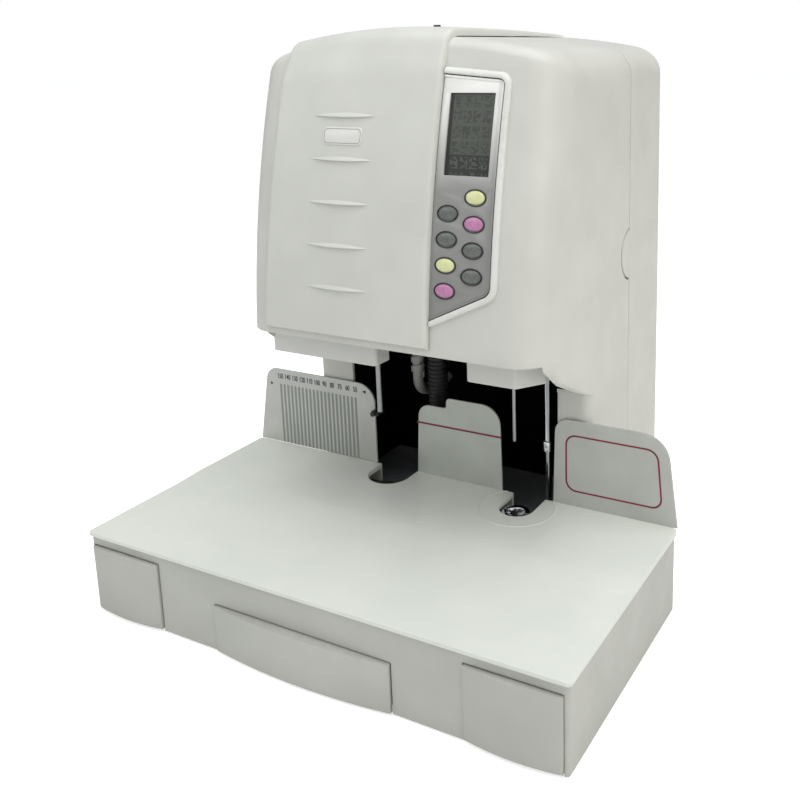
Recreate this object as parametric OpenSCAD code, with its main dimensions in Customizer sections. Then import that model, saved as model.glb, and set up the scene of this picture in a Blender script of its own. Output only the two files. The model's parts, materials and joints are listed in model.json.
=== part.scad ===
// Desk machine that drills a stack of paper and closes it with a plastic tube rivet.
// Millimetres; X to the right, Y to the rear, Z up. The origin is the middle of the
// footprint on the desk. The front edge of the paper table is at Y = front_y.

/* [Paper table] */
// Width of the paper table
table_w = 440; // [430:2:470]
// Depth of the paper table, front edge to back plates
table_d = 220; // [216:1:232]
// Height of the rear half of the table above the desk
table_z = 74; // [72:0.5:82]
// Thickness of the table moulding
table_t = 3.2; // [2.6:0.1:4]
// Drop of the front half of the table below the rear half
table_step = 1.2; // [0.6:0.1:2]
// Front end of the ramp between the two halves, from the table's front edge
ramp_from = 103; // [90:1:110]
// Length of that ramp
ramp_run = 27; // [15:1:40]
// Overhang of the table round the base
table_lip = 2; // [1:0.5:4]
// Width of the left slot, for the drill
drill_slot_w = 40; // [36:1:44]
// Width of the right slot, for the rivet head
rivet_slot_w = 31; // [28:1:34]
// Radius of the raised ring round the right slot
slot_ring_r = 34; // [30:1:36]

/* [Stations] */
// Distance of the drill station to the left of the middle
drill_x = 51; // [48:1:54]
// Distance of the rivet station to the right of the middle
rivet_x = 85.5; // [83:0.5:87]
// Distance of both tool axes in front of the table's rear edge
tool_set = 27; // [24:1:30]
// Height of the drill's tip above the table at rest
drill_lift = 66; // [60:1:70]
// Height of the rivet punch's tip above the table at rest
rivet_lift = 62; // [56:1:66]
// Outside diameter of the hollow drill
drill_od = 7; // [5:0.5:8]
// Bore of the hollow drill
drill_bore = 4.6; // [3:0.2:5]
// Diameter of the rivet punch
punch_d = 4; // [3:0.5:5]

/* [Back plates] */
// Thickness of each back plate
plate_t = 2; // [1.5:0.5:3]
// Height of the back plates above the table
plate_h = 78; // [70:1:82]
// Height of the thickness mark above the table
mark_h = 50; // [40:1:55]

/* [Base] */
// Wall of the moulded base
base_wall = 3; // [2.5:0.5:4]
// Gap between the base and the desk
foot_gap = 2; // [1:0.5:4]
// Diameter of each rubber foot
foot_d = 18; // [14:1:22]
// Thickness of the steel bottom plate
floor_t = 1.5; // [1:0.5:2.5]
// Width of each side drawer's front
side_drawer_w = 73; // [66:1:75]
// Height of each side drawer's front
side_drawer_h = 57; // [50:1:59]
// Width of the scrap drawer's front
scrap_w = 163; // [150:1:168]
// Height of the scrap drawer's front
scrap_h = 39; // [35:1:40]
// Bow of the scrap drawer's front
scrap_bow = 6; // [4:0.5:8]
// Bow of each side drawer's front
side_bow = 3.4; // [2:0.2:4]
// Travel of the scrap drawer
scrap_travel = 150; // [100:10:160]
// Travel of the side drawers
side_travel = 100; // [60:10:110]

/* [Tower and head] */
// Width of the tower and the head
head_w = 284; // [278:2:292]
// Gap between the table and the tower
tower_gap = 3; // [2.6:0.2:4]
// Depth of the tower, front cheeks to back
tower_d = 178; // [172:1:186]
// Depth of the front shell, tower front to seam
shell_d = 89; // [86:1:94]
// Wall of the tower's shells
shell_wall = 3; // [2.5:0.5:3.5]
// Height of the head's lower front edge above the desk
head_z = 227; // [224:1:230]
// Height of the head's top in the middle of its front edge
head_top = 472; // [468:1:480]
// Fall of the head's top towards the rear
top_fall = 2; // [1:0.5:6]
// Radius of the crown across the head's top
crown_r = 608; // [560:8:700]
// Radius of the head's front face, seen from the side
face_r = 1000; // [950:50:1200]
// Reach of the head in front of the table's rear edge
head_reach = 100; // [96:1:102]
// Left edge of the tower's throat, from the middle
throat_left = 102; // [98:1:106]
// Right edge of the tower's throat, from the middle
throat_right = 112; // [108:1:114]
// Height that the guards hang below the head's edge
guard_drop = 30; // [24:1:34]

/* [Front cover] */
// Left edge of the front cover at its foot, from the middle
cover_left = 113; // [108:1:116]
// Right edge of the front cover, from the middle
cover_right = 48; // [46:0.5:50]
// Height of the cover's surface over the head
cover_proud = 7; // [5:0.5:9]
// Wall of the front cover
cover_wall = 2.4; // [2:0.2:3]
// Opening angle of the front cover
cover_angle = 70; // [50:5:80]

/* [Control panel] */
// Left column of keys, from the middle
key_col_x = 61.5; // [60:0.5:63]
// Distance between the two columns of keys
key_cols = 23; // [21:0.5:24]
// Pitch of the keys down each column
key_pitch = 19.6; // [18.6:0.2:20]
// Height of the top right key above the desk
key_top_z = 352; // [350:0.5:354]
// Width of each oval key
key_w = 16.4; // [14:0.2:17]
// Height of each oval key
key_h = 10.6; // [9:0.2:11.4]
// Travel of each key
key_travel = 0.8; // [0.5:0.1:1]
// Width of the display window
lcd_w = 38.6; // [34:0.2:40]
// Height of the display window
lcd_h = 61; // [54:1:62]

/* [Drive] */
// Diameter of the polished guide columns
column_d = 6; // [5:0.5:8]
// Diameter of the short guide rods in the head
rod_d = 8; // [6:0.5:8]
// Diameter of each feed screw
screw_d = 8; // [6:0.5:9]
// Lead of each feed screw
screw_lead = 10; // [6:1:12]
// Diameter of the drill spindle
spindle_d = 14; // [12:0.5:15]
// Outside diameter of the chip hose over its ribs
hose_d = 19; // [16:0.5:20]
// Pitch of the ribs on the chip hose
hose_pitch = 4; // [3:0.5:5]

/* [Clearances] */
// Radial clearance of each running fit
run_fit = 0.05; // [0.02:0.01:0.09]
// Gap between pieces that slide or part
gap = 0.4; // [0.3:0.1:0.6]

/* [Hidden] */
$fn = 48;
eps = 0.01;

// Places along Y
total_d = scrap_bow + table_d + tower_gap + tower_d;
front_y = scrap_bow - total_d / 2;
table_back = front_y + table_d;
tower_front = table_back + tower_gap;
seam_y = tower_front + shell_d;
rear_y = tower_front + tower_d;
tool_y = table_back - tool_set;
column_y = tower_front + 12;
motor_y = column_y + 41;
liner_y = seam_y - 8;
frame_back = liner_y - 4;
frame_rear = rear_y - shell_wall - 6;
bed_front = table_back - 55;
arm_front = table_back - 38;
bay_back = table_back - 15;
lip_y = table_back - 19;
shoulder_y = table_back - 10;
guard_front = table_back - 63;
skirt_y = table_back - 62;
latch_y = table_back - 7;
edge_y = table_back - 28;

// Heights
table_front_z = table_z - table_step;
table_under = table_front_z - table_t;
floor_z = foot_gap + 1;
floor_top = floor_z + floor_t;
bed_z = floor_top + 43.5;
bed_t = 8;
bed_top = bed_z + bed_t;
arm_z = head_z + 9;
arm_t = 8;
arm_top = arm_z + arm_t;
top_plate_z = head_top - 48;
top_plate_t = 6;
top_plate_top = top_plate_z + top_plate_t;
drill_tip_z = table_z + drill_lift;
punch_tip_z = table_z + rivet_lift;
pad_top = table_z - 8;
anvil_top = table_z - 2.4;
belt_z = top_plate_top + 1;
drill_travel = drill_tip_z - pad_top - 1;
rivet_travel = punch_tip_z - anvil_top - 3;
carriage_z = arm_top + drill_travel + 1;
carriage_h = 32;

// Places along X
half_head = head_w / 2;
cheek_t = 4;
cheek_x = half_head - shell_wall - cheek_t - 0.6;
side_drawer_x = table_w / 2 - 5.5 - side_drawer_w / 2;
column_left = -110;
column_right = 97.5;
drill_rod_x = -10;
rivet_rod_x = 64;
drill_screw_x = -62;
rivet_screw_x = 80.5;
hose_x = -22;
hose_y = column_y + 13;
harness_x = -44;
harness_y = column_y + 13;

// Head's front face: a large cylinder whose axis runs along X
face_z = head_z - 63;
face_front = table_back - head_reach;
function face_y(z) = face_front + face_r - sqrt(face_r * face_r - pow(z - face_z, 2));
function face_tilt(z) = asin((z - face_z) / face_r);
// Head's top: crowned across X and falling to the rear
function crown(x) = x * x / (2 * crown_r);
function head_top_z(x, y) =
    head_top - crown(x) - top_fall * (y - table_back + 30) / (rear_y - table_back + 30);

// ---- Shared shapes ----

// Arc as a list of points, from angle a0 to a1
function arc(cx, cy, r, a0, a1, n = 8) =
    [for (i = [0:n]) [cx + r * cos(a0 + (a1 - a0) * i / n), cy + r * sin(a0 + (a1 - a0) * i / n)]];

// Rounded rectangle between two corners, with true arcs
module rounded(x0, y0, x1, y1, r) {
    translate([x0 + r, y0]) square([x1 - x0 - 2 * r, y1 - y0]);
    translate([x0, y0 + r]) square([x1 - x0, y1 - y0 - 2 * r]);
    for (x = [x0 + r, x1 - r], y = [y0 + r, y1 - r]) translate([x, y]) circle(r);
}

// Box between two corners
module block(low, high) {
    translate(low) cube(high - low);
}

// Extrudes a YZ outline along X
module along_x(x0, x1) {
    translate([x0, 0, 0]) rotate([90, 0, 90]) linear_extrude(x1 - x0) children();
}

// Extrudes an XZ outline along Y
module along_y(y0, y1) {
    translate([0, y1, 0]) rotate([90, 0, 0]) linear_extrude(y1 - y0) children();
}

// Upright cylinder between two heights
module post(x, y, z0, z1, d) {
    translate([x, y, z0]) cylinder(h = z1 - z0, d = d);
}

// Places children on the head's front face, with -Y as the outward normal
module at_face(x, z, out = 0) {
    translate([x, face_y(z), z]) rotate([-face_tilt(z), 0, 0]) translate([0, -out, 0]) children();
}

// Slab that follows the front face, from one height over it to another
module face_slab(x0, x1, out0, out1, z0, z1) {
    intersection() {
        block([x0, face_front - 20, z0], [x1, rear_y, z1]);
        difference() {
            face_roll(x0, x1, face_r + out1);
            face_roll(x0 - 1, x1 + 1, face_r + out0);
        }
    }
}

module face_roll(x0, x1, r) {
    translate([x0, face_front + face_r, face_z]) rotate([0, 90, 0])
        cylinder(h = x1 - x0, r = r, $fn = 720);
}

// Toothed-belt pulley with two flanges, on the Z axis
module pulley(r, h) {
    cylinder(h = h, r = r);
    cylinder(h = 1, r = r + 2);
    translate([0, 0, h - 1]) cylinder(h = 1, r = r + 2);
}

// Belt round two pulleys on upright axes
module belt(a, ra, b, rb, z0, z1) {
    translate([0, 0, z0]) linear_extrude(z1 - z0) difference() {
        belt_line(a, ra + 1.8, b, rb + 1.8);
        belt_line(a, ra + 0.3, b, rb + 0.3);
    }
}

module belt_line(a, ra, b, rb) {
    hull() {
        translate(a) circle(ra, $fn = 32);
        translate(b) circle(rb, $fn = 32);
    }
}

// Outline of an oval key
module oval(w, h) {
    polygon([for (i = [0:31]) [w / 2 * cos(i * 11.25), h / 2 * sin(i * 11.25)]]);
}

// ---- Base ----

module base_outline(in) {
    rounded(-table_w / 2 + table_lip + in, front_y + table_lip + in,
        table_w / 2 - table_lip - in, table_back - in, 3);
}

drawer_gap = 1;
scrap_cut = scrap_w / 2 + drawer_gap;
side_cut_in = side_drawer_x - side_drawer_w / 2 - drawer_gap;
side_cut_out = table_w / 2 - table_lip - base_wall - 0.2;
scrap_tray_w = scrap_w - 9;
side_tray_w = side_drawer_w - 5;
scrap_z = foot_gap + 1;
side_z = foot_gap + 2;

module base_shell() {
    color("#d6d8d2") difference() {
        union() {
            difference() {
                translate([0, 0, foot_gap]) linear_extrude(table_under - foot_gap) base_outline(0);
                translate([0, 0, -1]) linear_extrude(table_z) base_outline(base_wall);
            }
            for (s = [-1, 1]) {
                drawer_wall(s * (scrap_tray_w / 2 + gap), s, bed_z - 1);
                drawer_wall(s * (side_drawer_x - side_tray_w / 2 - gap - base_wall), s, table_under);
            }
        }
        block([-scrap_cut, front_y, 0], [scrap_cut, front_y + 9, scrap_z + scrap_h + drawer_gap]);
        for (s = [0, 1]) mirror([s, 0, 0])
            block([side_cut_in, front_y, 0], [side_cut_out, front_y + 9,
                side_z + side_drawer_h + drawer_gap]);
        block([-cheek_x - cheek_t - 1, table_back - 9, 0],
            [cheek_x + cheek_t + 1, table_back + 1, bed_top + 1]);
        block([-drill_x - drill_slot_w / 2, table_back - 9, bed_z],
            [-drill_x + drill_slot_w / 2, table_back + 1, table_z]);
        block([rivet_x - rivet_slot_w / 2, table_back - 9, bed_z],
            [rivet_x + rivet_slot_w / 2, table_back + 1, table_z]);
    }
}

// Upright wall beside a drawer
module drawer_wall(x, side, top) {
    block([side > 0 ? x : x - base_wall, front_y + table_lip + 1, floor_top],
        [side > 0 ? x + base_wall : x, table_back - 10, top]);
}

module base_plate() {
    inner = table_w / 2 - table_lip - base_wall;
    color("#8d9092") difference() {
        union() {
            translate([0, 0, floor_z]) linear_extrude(floor_t)
                rounded(-inner, front_y + 9, inner, table_back - base_wall, 3);
            block([-cheek_x, table_back - 9, floor_z], [cheek_x, tower_front + 30, floor_top]);
            translate([0, 0, floor_z]) linear_extrude(floor_t)
                rounded(-half_head + shell_wall, tower_front + shell_wall, half_head - shell_wall,
                    rear_y - shell_wall, 10 - shell_wall);
        }
        for (s = [-1, 1], i = [-3:3])
            translate([s * 45 + i * 9, rear_y - 60, floor_z - 1]) linear_extrude(floor_t + 2)
                rounded(-2, 0, 2, 34, 1.9);
        for (p = foot_places()) post(p[0], p[1], floor_z - 1, floor_top + 1, 4);
    }
}

function foot_places() = [
    [-table_w / 2 + 30, front_y + 24], [table_w / 2 - 30, front_y + 24],
    [-half_head + 24, rear_y - 24], [half_head - 24, rear_y - 24]
];

module rubber_feet() {
    color("#242424") for (p = foot_places()) {
        translate([p[0], p[1], 0]) cylinder(h = floor_z, d1 = foot_d - 2, d2 = foot_d);
        post(p[0], p[1], floor_z - eps, floor_top, 4);
    }
}

module slot_outline(x, w, reach) {
    front = tool_y - reach + w / 2;
    translate([x, front]) circle(w / 2);
    translate([x - w / 2, front]) square([w, table_back - front + 1]);
}

module table_top() {
    color("#d7dcd6") {
        difference() {
            intersection() {
                linear_extrude(table_z + 1) rounded(-table_w / 2, front_y, table_w / 2, table_back, 4);
                along_x(-table_w, table_w) polygon([
                    [front_y - 1, table_under], [front_y - 1, table_front_z],
                    [front_y + ramp_from, table_front_z], [front_y + ramp_from + ramp_run, table_z],
                    [table_back + 1, table_z], [table_back + 1, table_under]
                ]);
            }
            translate([0, 0, table_under - 1]) linear_extrude(table_t + table_step + 2) {
                slot_outline(-drill_x, drill_slot_w, 10);
                slot_outline(rivet_x, rivet_slot_w, 13.5);
            }
        }
        slot_ring();
    }
}

// Thin raised ring moulded round the rivet slot
module slot_ring() {
    intersection() {
        translate([rivet_x, tool_y + 2, table_z - 0.2]) difference() {
            cylinder(h = 0.6, r = slot_ring_r, $fn = 96);
            translate([0, 0, -1]) cylinder(h = 3, r = slot_ring_r - 1.2, $fn = 96);
        }
        block([rivet_x - 50, front_y + ramp_from + ramp_run + 1, table_z - 0.2],
            [rivet_x + 50, table_back, table_z + 1]);
    }
}

// Tray of a drawer with a bowed front and a finger grip under it, behind a lip
module drawer(x, w, tray_w, h, bow, tray_d, z) {
    radius = (w * w / 4 + bow * bow) / (2 * bow);
    translate([x, 0, z]) {
        difference() {
            linear_extrude(h) intersection() {
                translate([-w / 2, front_y - bow]) square([w, bow + 3]);
                translate([0, front_y - bow + radius]) circle(radius, $fn = 720);
            }
            translate([-12, front_y - bow + 2, -1]) cube([24, bow + 1, 3.4]);
        }
        tray_h = h - 5;
        difference() {
            block([-tray_w / 2, front_y + 3 - eps, floor_top - z + gap],
                [tray_w / 2, front_y + tray_d, tray_h]);
            block([-tray_w / 2 + 1.8, front_y + 4.8, floor_top - z + gap + 1.8],
                [tray_w / 2 - 1.8, front_y + tray_d - 1.8, tray_h + 1]);
        }
    }
}

module scrap_drawer() {
    color("#dcddd8") drawer(0, scrap_w, scrap_tray_w, scrap_h, scrap_bow, hose_y + 14 - front_y, scrap_z);
}

module left_drawer() {
    color("#cfd0ca") drawer(-side_drawer_x, side_drawer_w, side_tray_w, side_drawer_h, side_bow, 150,
        side_z);
}

module right_drawer() {
    color("#cfd0ca") drawer(side_drawer_x, side_drawer_w, side_tray_w, side_drawer_h, side_bow, 150, side_z);
}

// ---- Back plates ----

plate_y = table_back;
plate_foot = table_under - 8;

// Upright plate behind the table's rear edge; children give its XZ outline over the table
module back_plate(x0, x1) {
    along_y(plate_y, plate_y + plate_t) translate([0, table_z]) children();
    block([x0, plate_y, plate_foot], [x1, plate_y + plate_t, table_z + eps]);
}

module scale_plate() {
    edge = -drill_x - drill_slot_w / 2 - 3;
    left = -table_w / 2 + 0.5;
    color("#a3a5a0") difference() {
        back_plate(left + 4, edge - 2) polygon(concat(
            [[left, 0]], arc(left + 22, plate_h - 8, 8, 170, 90),
                arc(edge - 27, plate_h - 27, 27, 90, 0, 12),
            [[edge, 0]]));
        block([edge - 4, plate_y - 1, table_z + mark_h - 1],
            [edge + 1, plate_y + plate_t + 1, table_z + mark_h + 4]);
    }
}

module stack_stop() {
    edge = -drill_x - drill_slot_w / 2 - 3;
    z = table_z + mark_h + 1.5;
    color("#1b1b1b") {
        block([edge - 3.8, plate_y - 4, z - 2], [edge + 4, plate_y + plate_t + 5, z + 2]);
        translate([edge - 1, plate_y - 4, z]) rotate([90, 0, 0]) cylinder(h = 2.5, d = 5);
    }
}

module thickness_plate() {
    left = -drill_x + drill_slot_w / 2 + 0.6;
    right = rivet_x - rivet_slot_w / 2 - 11.5;
    shoulder = plate_h - 10;
    color("#a3a5a0") back_plate(left, right) polygon(concat(
        [[left, 0]], arc(left + 15, shoulder - 12, 12, 180, 90),
        arc(left + 30, shoulder + 3, 3, 270, 360, 4), arc(left + 37, plate_h - 4, 4, 180, 90, 4),
        arc(right - 19, plate_h - 18, 18, 90, 0, 10), [[right, 0]]));
}

module notice_plate() {
    left = rivet_x + rivet_slot_w / 2 + 7.5;
    right = table_w / 2 - 0.5;
    color("#b0b2ad") back_plate(left, right - 4) polygon(concat(
        [[left, 0]], arc(left + 15, plate_h - 13, 13, 180, 90, 10),
            arc(right - 31, plate_h - 24, 24, 90, 12, 10),
        [[right, 0]]));
}

// ---- Steel frame ----

// Clearance hole through a level plate
module plate_hole(x, y, z, t, d) {
    post(x, y, z - 1, z + t + 1, d);
}

// Holes for everything that runs along the guides of both carriages
module guide_holes(z, t) {
    for (x = [column_left, column_right]) plate_hole(x, column_y, z, t, column_d + 2 * run_fit);
    for (x = [drill_rod_x, rivet_rod_x]) plate_hole(x, column_y, z, t, rod_d + 2 * run_fit);
    for (x = [drill_screw_x, rivet_screw_x]) plate_hole(x, column_y, z, t, screw_d + 2 * run_fit);
}

module frame_bed() {
    color("#5c6064") difference() {
        block([-cheek_x, bed_front, bed_z], [cheek_x, frame_back, bed_top]);
        for (x = [column_left, column_right]) plate_hole(x, column_y, bed_z, bed_t, column_d + 2 * run_fit);
        plate_hole(hose_x, hose_y, bed_z, bed_t, hose_d + 2);
        plate_hole(-drill_x, tool_y, bed_z, bed_t, 12);
        plate_hole(rivet_x, tool_y, bed_z, bed_t, 12);
    }
}

// C-shaped side plates, each with two tabs for the rear cover
module frame_cheeks() {
    column_front = tower_front + 7.5;
    upper_rear = frame_rear - 5;
    color("#63676b") for (s = [0, 1]) mirror([s, 0, 0]) {
        along_x(cheek_x, cheek_x + cheek_t) difference() {
            polygon([
                [column_front, floor_top], [frame_rear, floor_top], [frame_rear, arm_z - 20],
                [upper_rear, arm_z], [upper_rear, top_plate_top - 30], [upper_rear - 36, top_plate_top],
                [arm_front + 16, top_plate_top], [arm_front, top_plate_top - 30], [arm_front, arm_z],
                [column_front, arm_z]
            ]);
            for (z = [bed_top + 50, arm_z - 40, arm_top + 90]) translate([tower_front + 90, z])
                circle(d = 60);
            translate([tower_front + 26, arm_top + 90]) circle(d = 44);
        }
        for (z = [40, 100, 160]) across(cheek_x + cheek_t - eps, half_head - shell_wall,
            column_front + 20, z, 14);
        for (z = screw_heights()) difference() {
            block([cheek_x - 32, upper_rear - 2, z - 10], [cheek_x + 1.4, frame_rear, z + 10]);
            translate([screw_x, frame_rear + 1, z]) rotate([90, 0, 0]) cylinder(h = 12, d = 3.1);
        }
    }
}

module arm_plate() {
    color("#6a6e72") difference() {
        block([-cheek_x, arm_front, arm_z], [cheek_x, frame_back, arm_top]);
        guide_holes(arm_z, arm_t);
        plate_hole(-drill_x, tool_y, arm_z, arm_t, 28);
        plate_hole(rivet_x, tool_y, arm_z, arm_t, 17);
        plate_hole(hose_x, hose_y, arm_z, arm_t, 11);
        block([-drill_x - 14, arm_front - 1, arm_z - 1], [-drill_x + 14, tool_y, arm_top + 1]);
        block([rivet_x - 8.5, arm_front - 1, arm_z - 1], [rivet_x + 8.5, tool_y, arm_top + 1]);
    }
}

module top_plate() {
    color("#6a6e72") difference() {
        block([-cheek_x, bay_back, top_plate_z], [cheek_x, frame_back, top_plate_top]);
        guide_holes(top_plate_z, top_plate_t);
        for (x = [drill_screw_x, rivet_screw_x]) plate_hole(x, motor_y, top_plate_z, top_plate_t, 7);
    }
}

// Two long columns from bed to top plate, and two short rods in the head
module guide_columns() {
    color("#d2d4d6") {
        for (x = [column_left, column_right]) post(x, column_y, bed_z, top_plate_top, column_d);
        for (x = [drill_rod_x, rivet_rod_x]) post(x, column_y, arm_z, top_plate_top, rod_d);
        translate([column_right, column_y, table_z + 40]) difference() {
            cylinder(h = 9, d = column_d + 4);
            translate([0, -column_d, 4.5]) rotate([90, 0, 0]) cylinder(h = 8, d = 2.6, center = true);
        }
    }
}

// Board under the drill, with a hole that lets the last chips fall
module drill_pad() {
    color("#1d1d1f") difference() {
        union() {
            post(-drill_x, tool_y, bed_top, pad_top, 26);
            post(-drill_x, tool_y, bed_top, bed_top + 3, 34);
        }
        post(-drill_x, tool_y, bed_top - 1, pad_top - 2.5, 12);
        post(-drill_x, tool_y, bed_top - 1, pad_top + 1, drill_od + 2);
    }
}

// Polished post with a dished and slotted top that forms the rivet's lower head
module anvil() {
    color("#c9ccd0") difference() {
        union() {
            post(rivet_x, tool_y, bed_top + 6, anvil_top, 24);
            post(rivet_x, tool_y, bed_z, bed_top + 6 + eps, 12);
        }
        translate([rivet_x, tool_y, anvil_top]) rotate_extrude()
            polygon([[0, 1], [0, -4.4], [2, -4.4], [6.5, -2.4], [8, -1.2], [8, 1]]);
        block([rivet_x - 14, tool_y - 1.4, anvil_top - 3], [rivet_x + 14, tool_y + 1.4, anvil_top + 1]);
    }
}

// Heater ring clamped round the anvil's foot
module anvil_heater() {
    color("#b08d57") difference() {
        union() {
            post(rivet_x, tool_y, bed_top, bed_top + 6, 25);
            block([rivet_x - 4, tool_y + 10, bed_top], [rivet_x + 4, tool_y + 17, bed_top + 6]);
        }
        post(rivet_x, tool_y, bed_top - 1, bed_top + 7, 12.1);
    }
}

// Ribbed hose that takes the paper chips from the head down to the scrap drawer
module chip_hose() {
    low = scrap_z + scrap_h;
    length = arm_z - low;
    core = hose_d / 2 - 1.2;
    bore = hose_d / 2 - 2.4;
    ribs = floor((length - 8) / hose_pitch);
    color("#3a3835") translate([hose_x, hose_y, low]) rotate_extrude() polygon(concat(
        [[bore, length], [bore, 0], [core, 0]],
        [for (i = [0:ribs - 1], p = [[0, 0.15], [1.2, 0.35], [1.2, 0.65], [0, 0.85]])
            [core + p[0], 4 + (i + p[1]) * hose_pitch]],
        [[core, length]]));
}

// Cable bundle in a spiral wrap, from the head down and back through the liner
module wiring_harness() {
    bend_r = 16;
    foot = table_z + 66;
    core = 10;
    wrap_turns = floor((arm_z - foot - bend_r - 4) / 9);
    color("#b9bab7") {
        post(harness_x, harness_y, foot + bend_r, arm_z, core);
        translate([harness_x, harness_y + bend_r, foot + bend_r]) rotate([90, 0, 90]) rotate([0, 0, 180])
            rotate_extrude(angle = 90) translate([bend_r, 0]) circle(d = core);
        translate([harness_x, harness_y + bend_r, foot]) rotate([-90, 0, 0])
            cylinder(h = liner_y - 1.5 - harness_y - bend_r, d = core);
        translate([harness_x, harness_y, foot + bend_r + 1]) spiral(core / 2, 1.4, 5.6, 9, wrap_turns);
    }
}

// Flat band of one thickness and height, wound as a helix on a radius
module spiral(radius, thick, high, pitch, turns) {
    steps = 24;
    count = steps * turns;
    pts = [for (i = [0:count], p = [[-0.4, 0], [thick, 0], [thick, high], [-0.4, high]])
        let (a = i * 360 / steps)
        [(radius + p[0]) * cos(a), (radius + p[0]) * sin(a), i * pitch / steps + p[1]]];
    faces = concat(
        [[0, 2, 1], [0, 3, 2]],
        [[count * 4, count * 4 + 1, count * 4 + 2], [count * 4, count * 4 + 2, count * 4 + 3]],
        [for (i = [0:count - 1], k = [0:3], t = [0, 1])
            let (a = i * 4 + k, b = i * 4 + (k + 1) % 4)
            t == 0 ? [a, b, a + 4] : [b, b + 4, a + 4]]);
    polyhedron(pts, faces, convexity = 10);
}

module throat_liner() {
    left = -throat_left - 3;
    right = throat_right + 3;
    color("#161617") difference() {
        block([left, tower_front + 8, bed_top], [right, liner_y, arm_z]);
        block([left + 1.5, tower_front + 7, bed_top - 1], [right - 1.5, liner_y - 1.5, arm_z + 1]);
    }
}

// ---- Tower and head shells ----

corner_r = 28;
crease_z = head_top - 25.5;

// Thin level disc that sets a rounded corner of a hull
module pin(x, y, z, r) {
    translate([x, y, z]) cylinder(h = 0.02, r = r, $fn = 40);
}

// Head as a solid; `in` draws every face in by a wall
module head_form(in) {
    low = in > 0 ? 1 : 0;
    side = half_head - corner_r;
    hull() {
        for (s = [-1, 1]) {
            for (t = [0, 0.2, 0.4, 0.6, 0.77, 0.91])
                let (z = head_z + t * (crease_z - head_z))
                pin(s * side, face_y(z) + corner_r, z - low, corner_r - in);
            pin(s * (half_head - 14), face_y(head_z) + 18, head_z - 6 - low, 14 - in);
            pin(s * (half_head - 6), skirt_y, head_z - 23 - low, 6 - in);
            pin(s * (half_head - 6), tower_front + 6, head_z - 53 - low, 6 - in);
            pin(s * (half_head - 10), rear_y - 10, head_z - 53 - low, 10 - in);
            translate([s * (half_head - 22), shoulder_y, head_top_z(half_head - 22, shoulder_y) - 22])
                sphere(r = 22 - in, $fn = 32);
        }
        for (i = [-3:3]) {
            x = i / 3 * side;
            z = crease_z - 13 - crown(x);
            translate([x, face_y(z) + 10, z]) sphere(r = 10 - in, $fn = 24);
            translate([x, lip_y, head_top_z(x, lip_y) - 14]) sphere(r = 14 - in, $fn = 24);
            rear_x = i / 3 * (half_head - 18);
            translate([rear_x, rear_y - 18, head_top_z(rear_x, rear_y) - 18]) sphere(r = 18 - in, $fn = 24);
        }
    }
}

module tower_form(in) {
    head_form(in);
    translate([0, 0, foot_gap - (in > 0 ? 1 : 0)]) linear_extrude(head_z - 40)
        rounded(-half_head + in, tower_front + in, half_head - in, rear_y - in, 10 - in);
}

module tower_shell() {
    difference() {
        tower_form(0);
        tower_form(shell_wall);
    }
}

// Everything behind the seam, with the rear cover's round lug on each side
module rear_zone(slack) {
    block([-half_head - 9, seam_y + slack, -9], [half_head + 9, rear_y + 9, head_top + 9]);
    for (s = [-1, 1]) translate([s * half_head, seam_y + 4, head_z + 52]) rotate([0, 90, 0])
        cylinder(h = 24, r = 24 - slack, center = true, $fn = 64);
}

module head_housing() {
    color("#dfe0db") difference() {
        tower_shell();
        rear_zone(0);
        block([-throat_left, tower_front - 1, 0], [throat_right, tower_front + shell_wall + 1, head_z - 20]);
        block([-cheek_x - 1, tower_front - 1, 0], [cheek_x + 1, tower_front + shell_wall + 1, bed_top + 1]);
        block([-half_head + shell_wall, front_y, 0], [half_head - shell_wall, tower_front - 1, head_z]);
        block([-cover_left + 16, front_y, cover_foot_z + 20], [cover_right - 7, bay_back, head_top]);
        panel_recess();
    }
}

// ---- Rear cover, its hinge slots and screws ----

screw_x = half_head - 26;
function screw_heights() = [24, head_z - 30, head_top - 80];
hinge_xs = [-62, 2];
hinge_y = rear_y - 9;
hinge_z = head_top_z(30, hinge_y) - 2.4;
knuckle_r = 3.4;
knuckle_w = 10;
pin_d = 3;
inlet_x = 84;
inlet_z = 56;

module across(x0, x1, y, z, d) {
    translate([x0, y, z]) rotate([0, 90, 0]) cylinder(h = x1 - x0, d = d);
}

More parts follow.
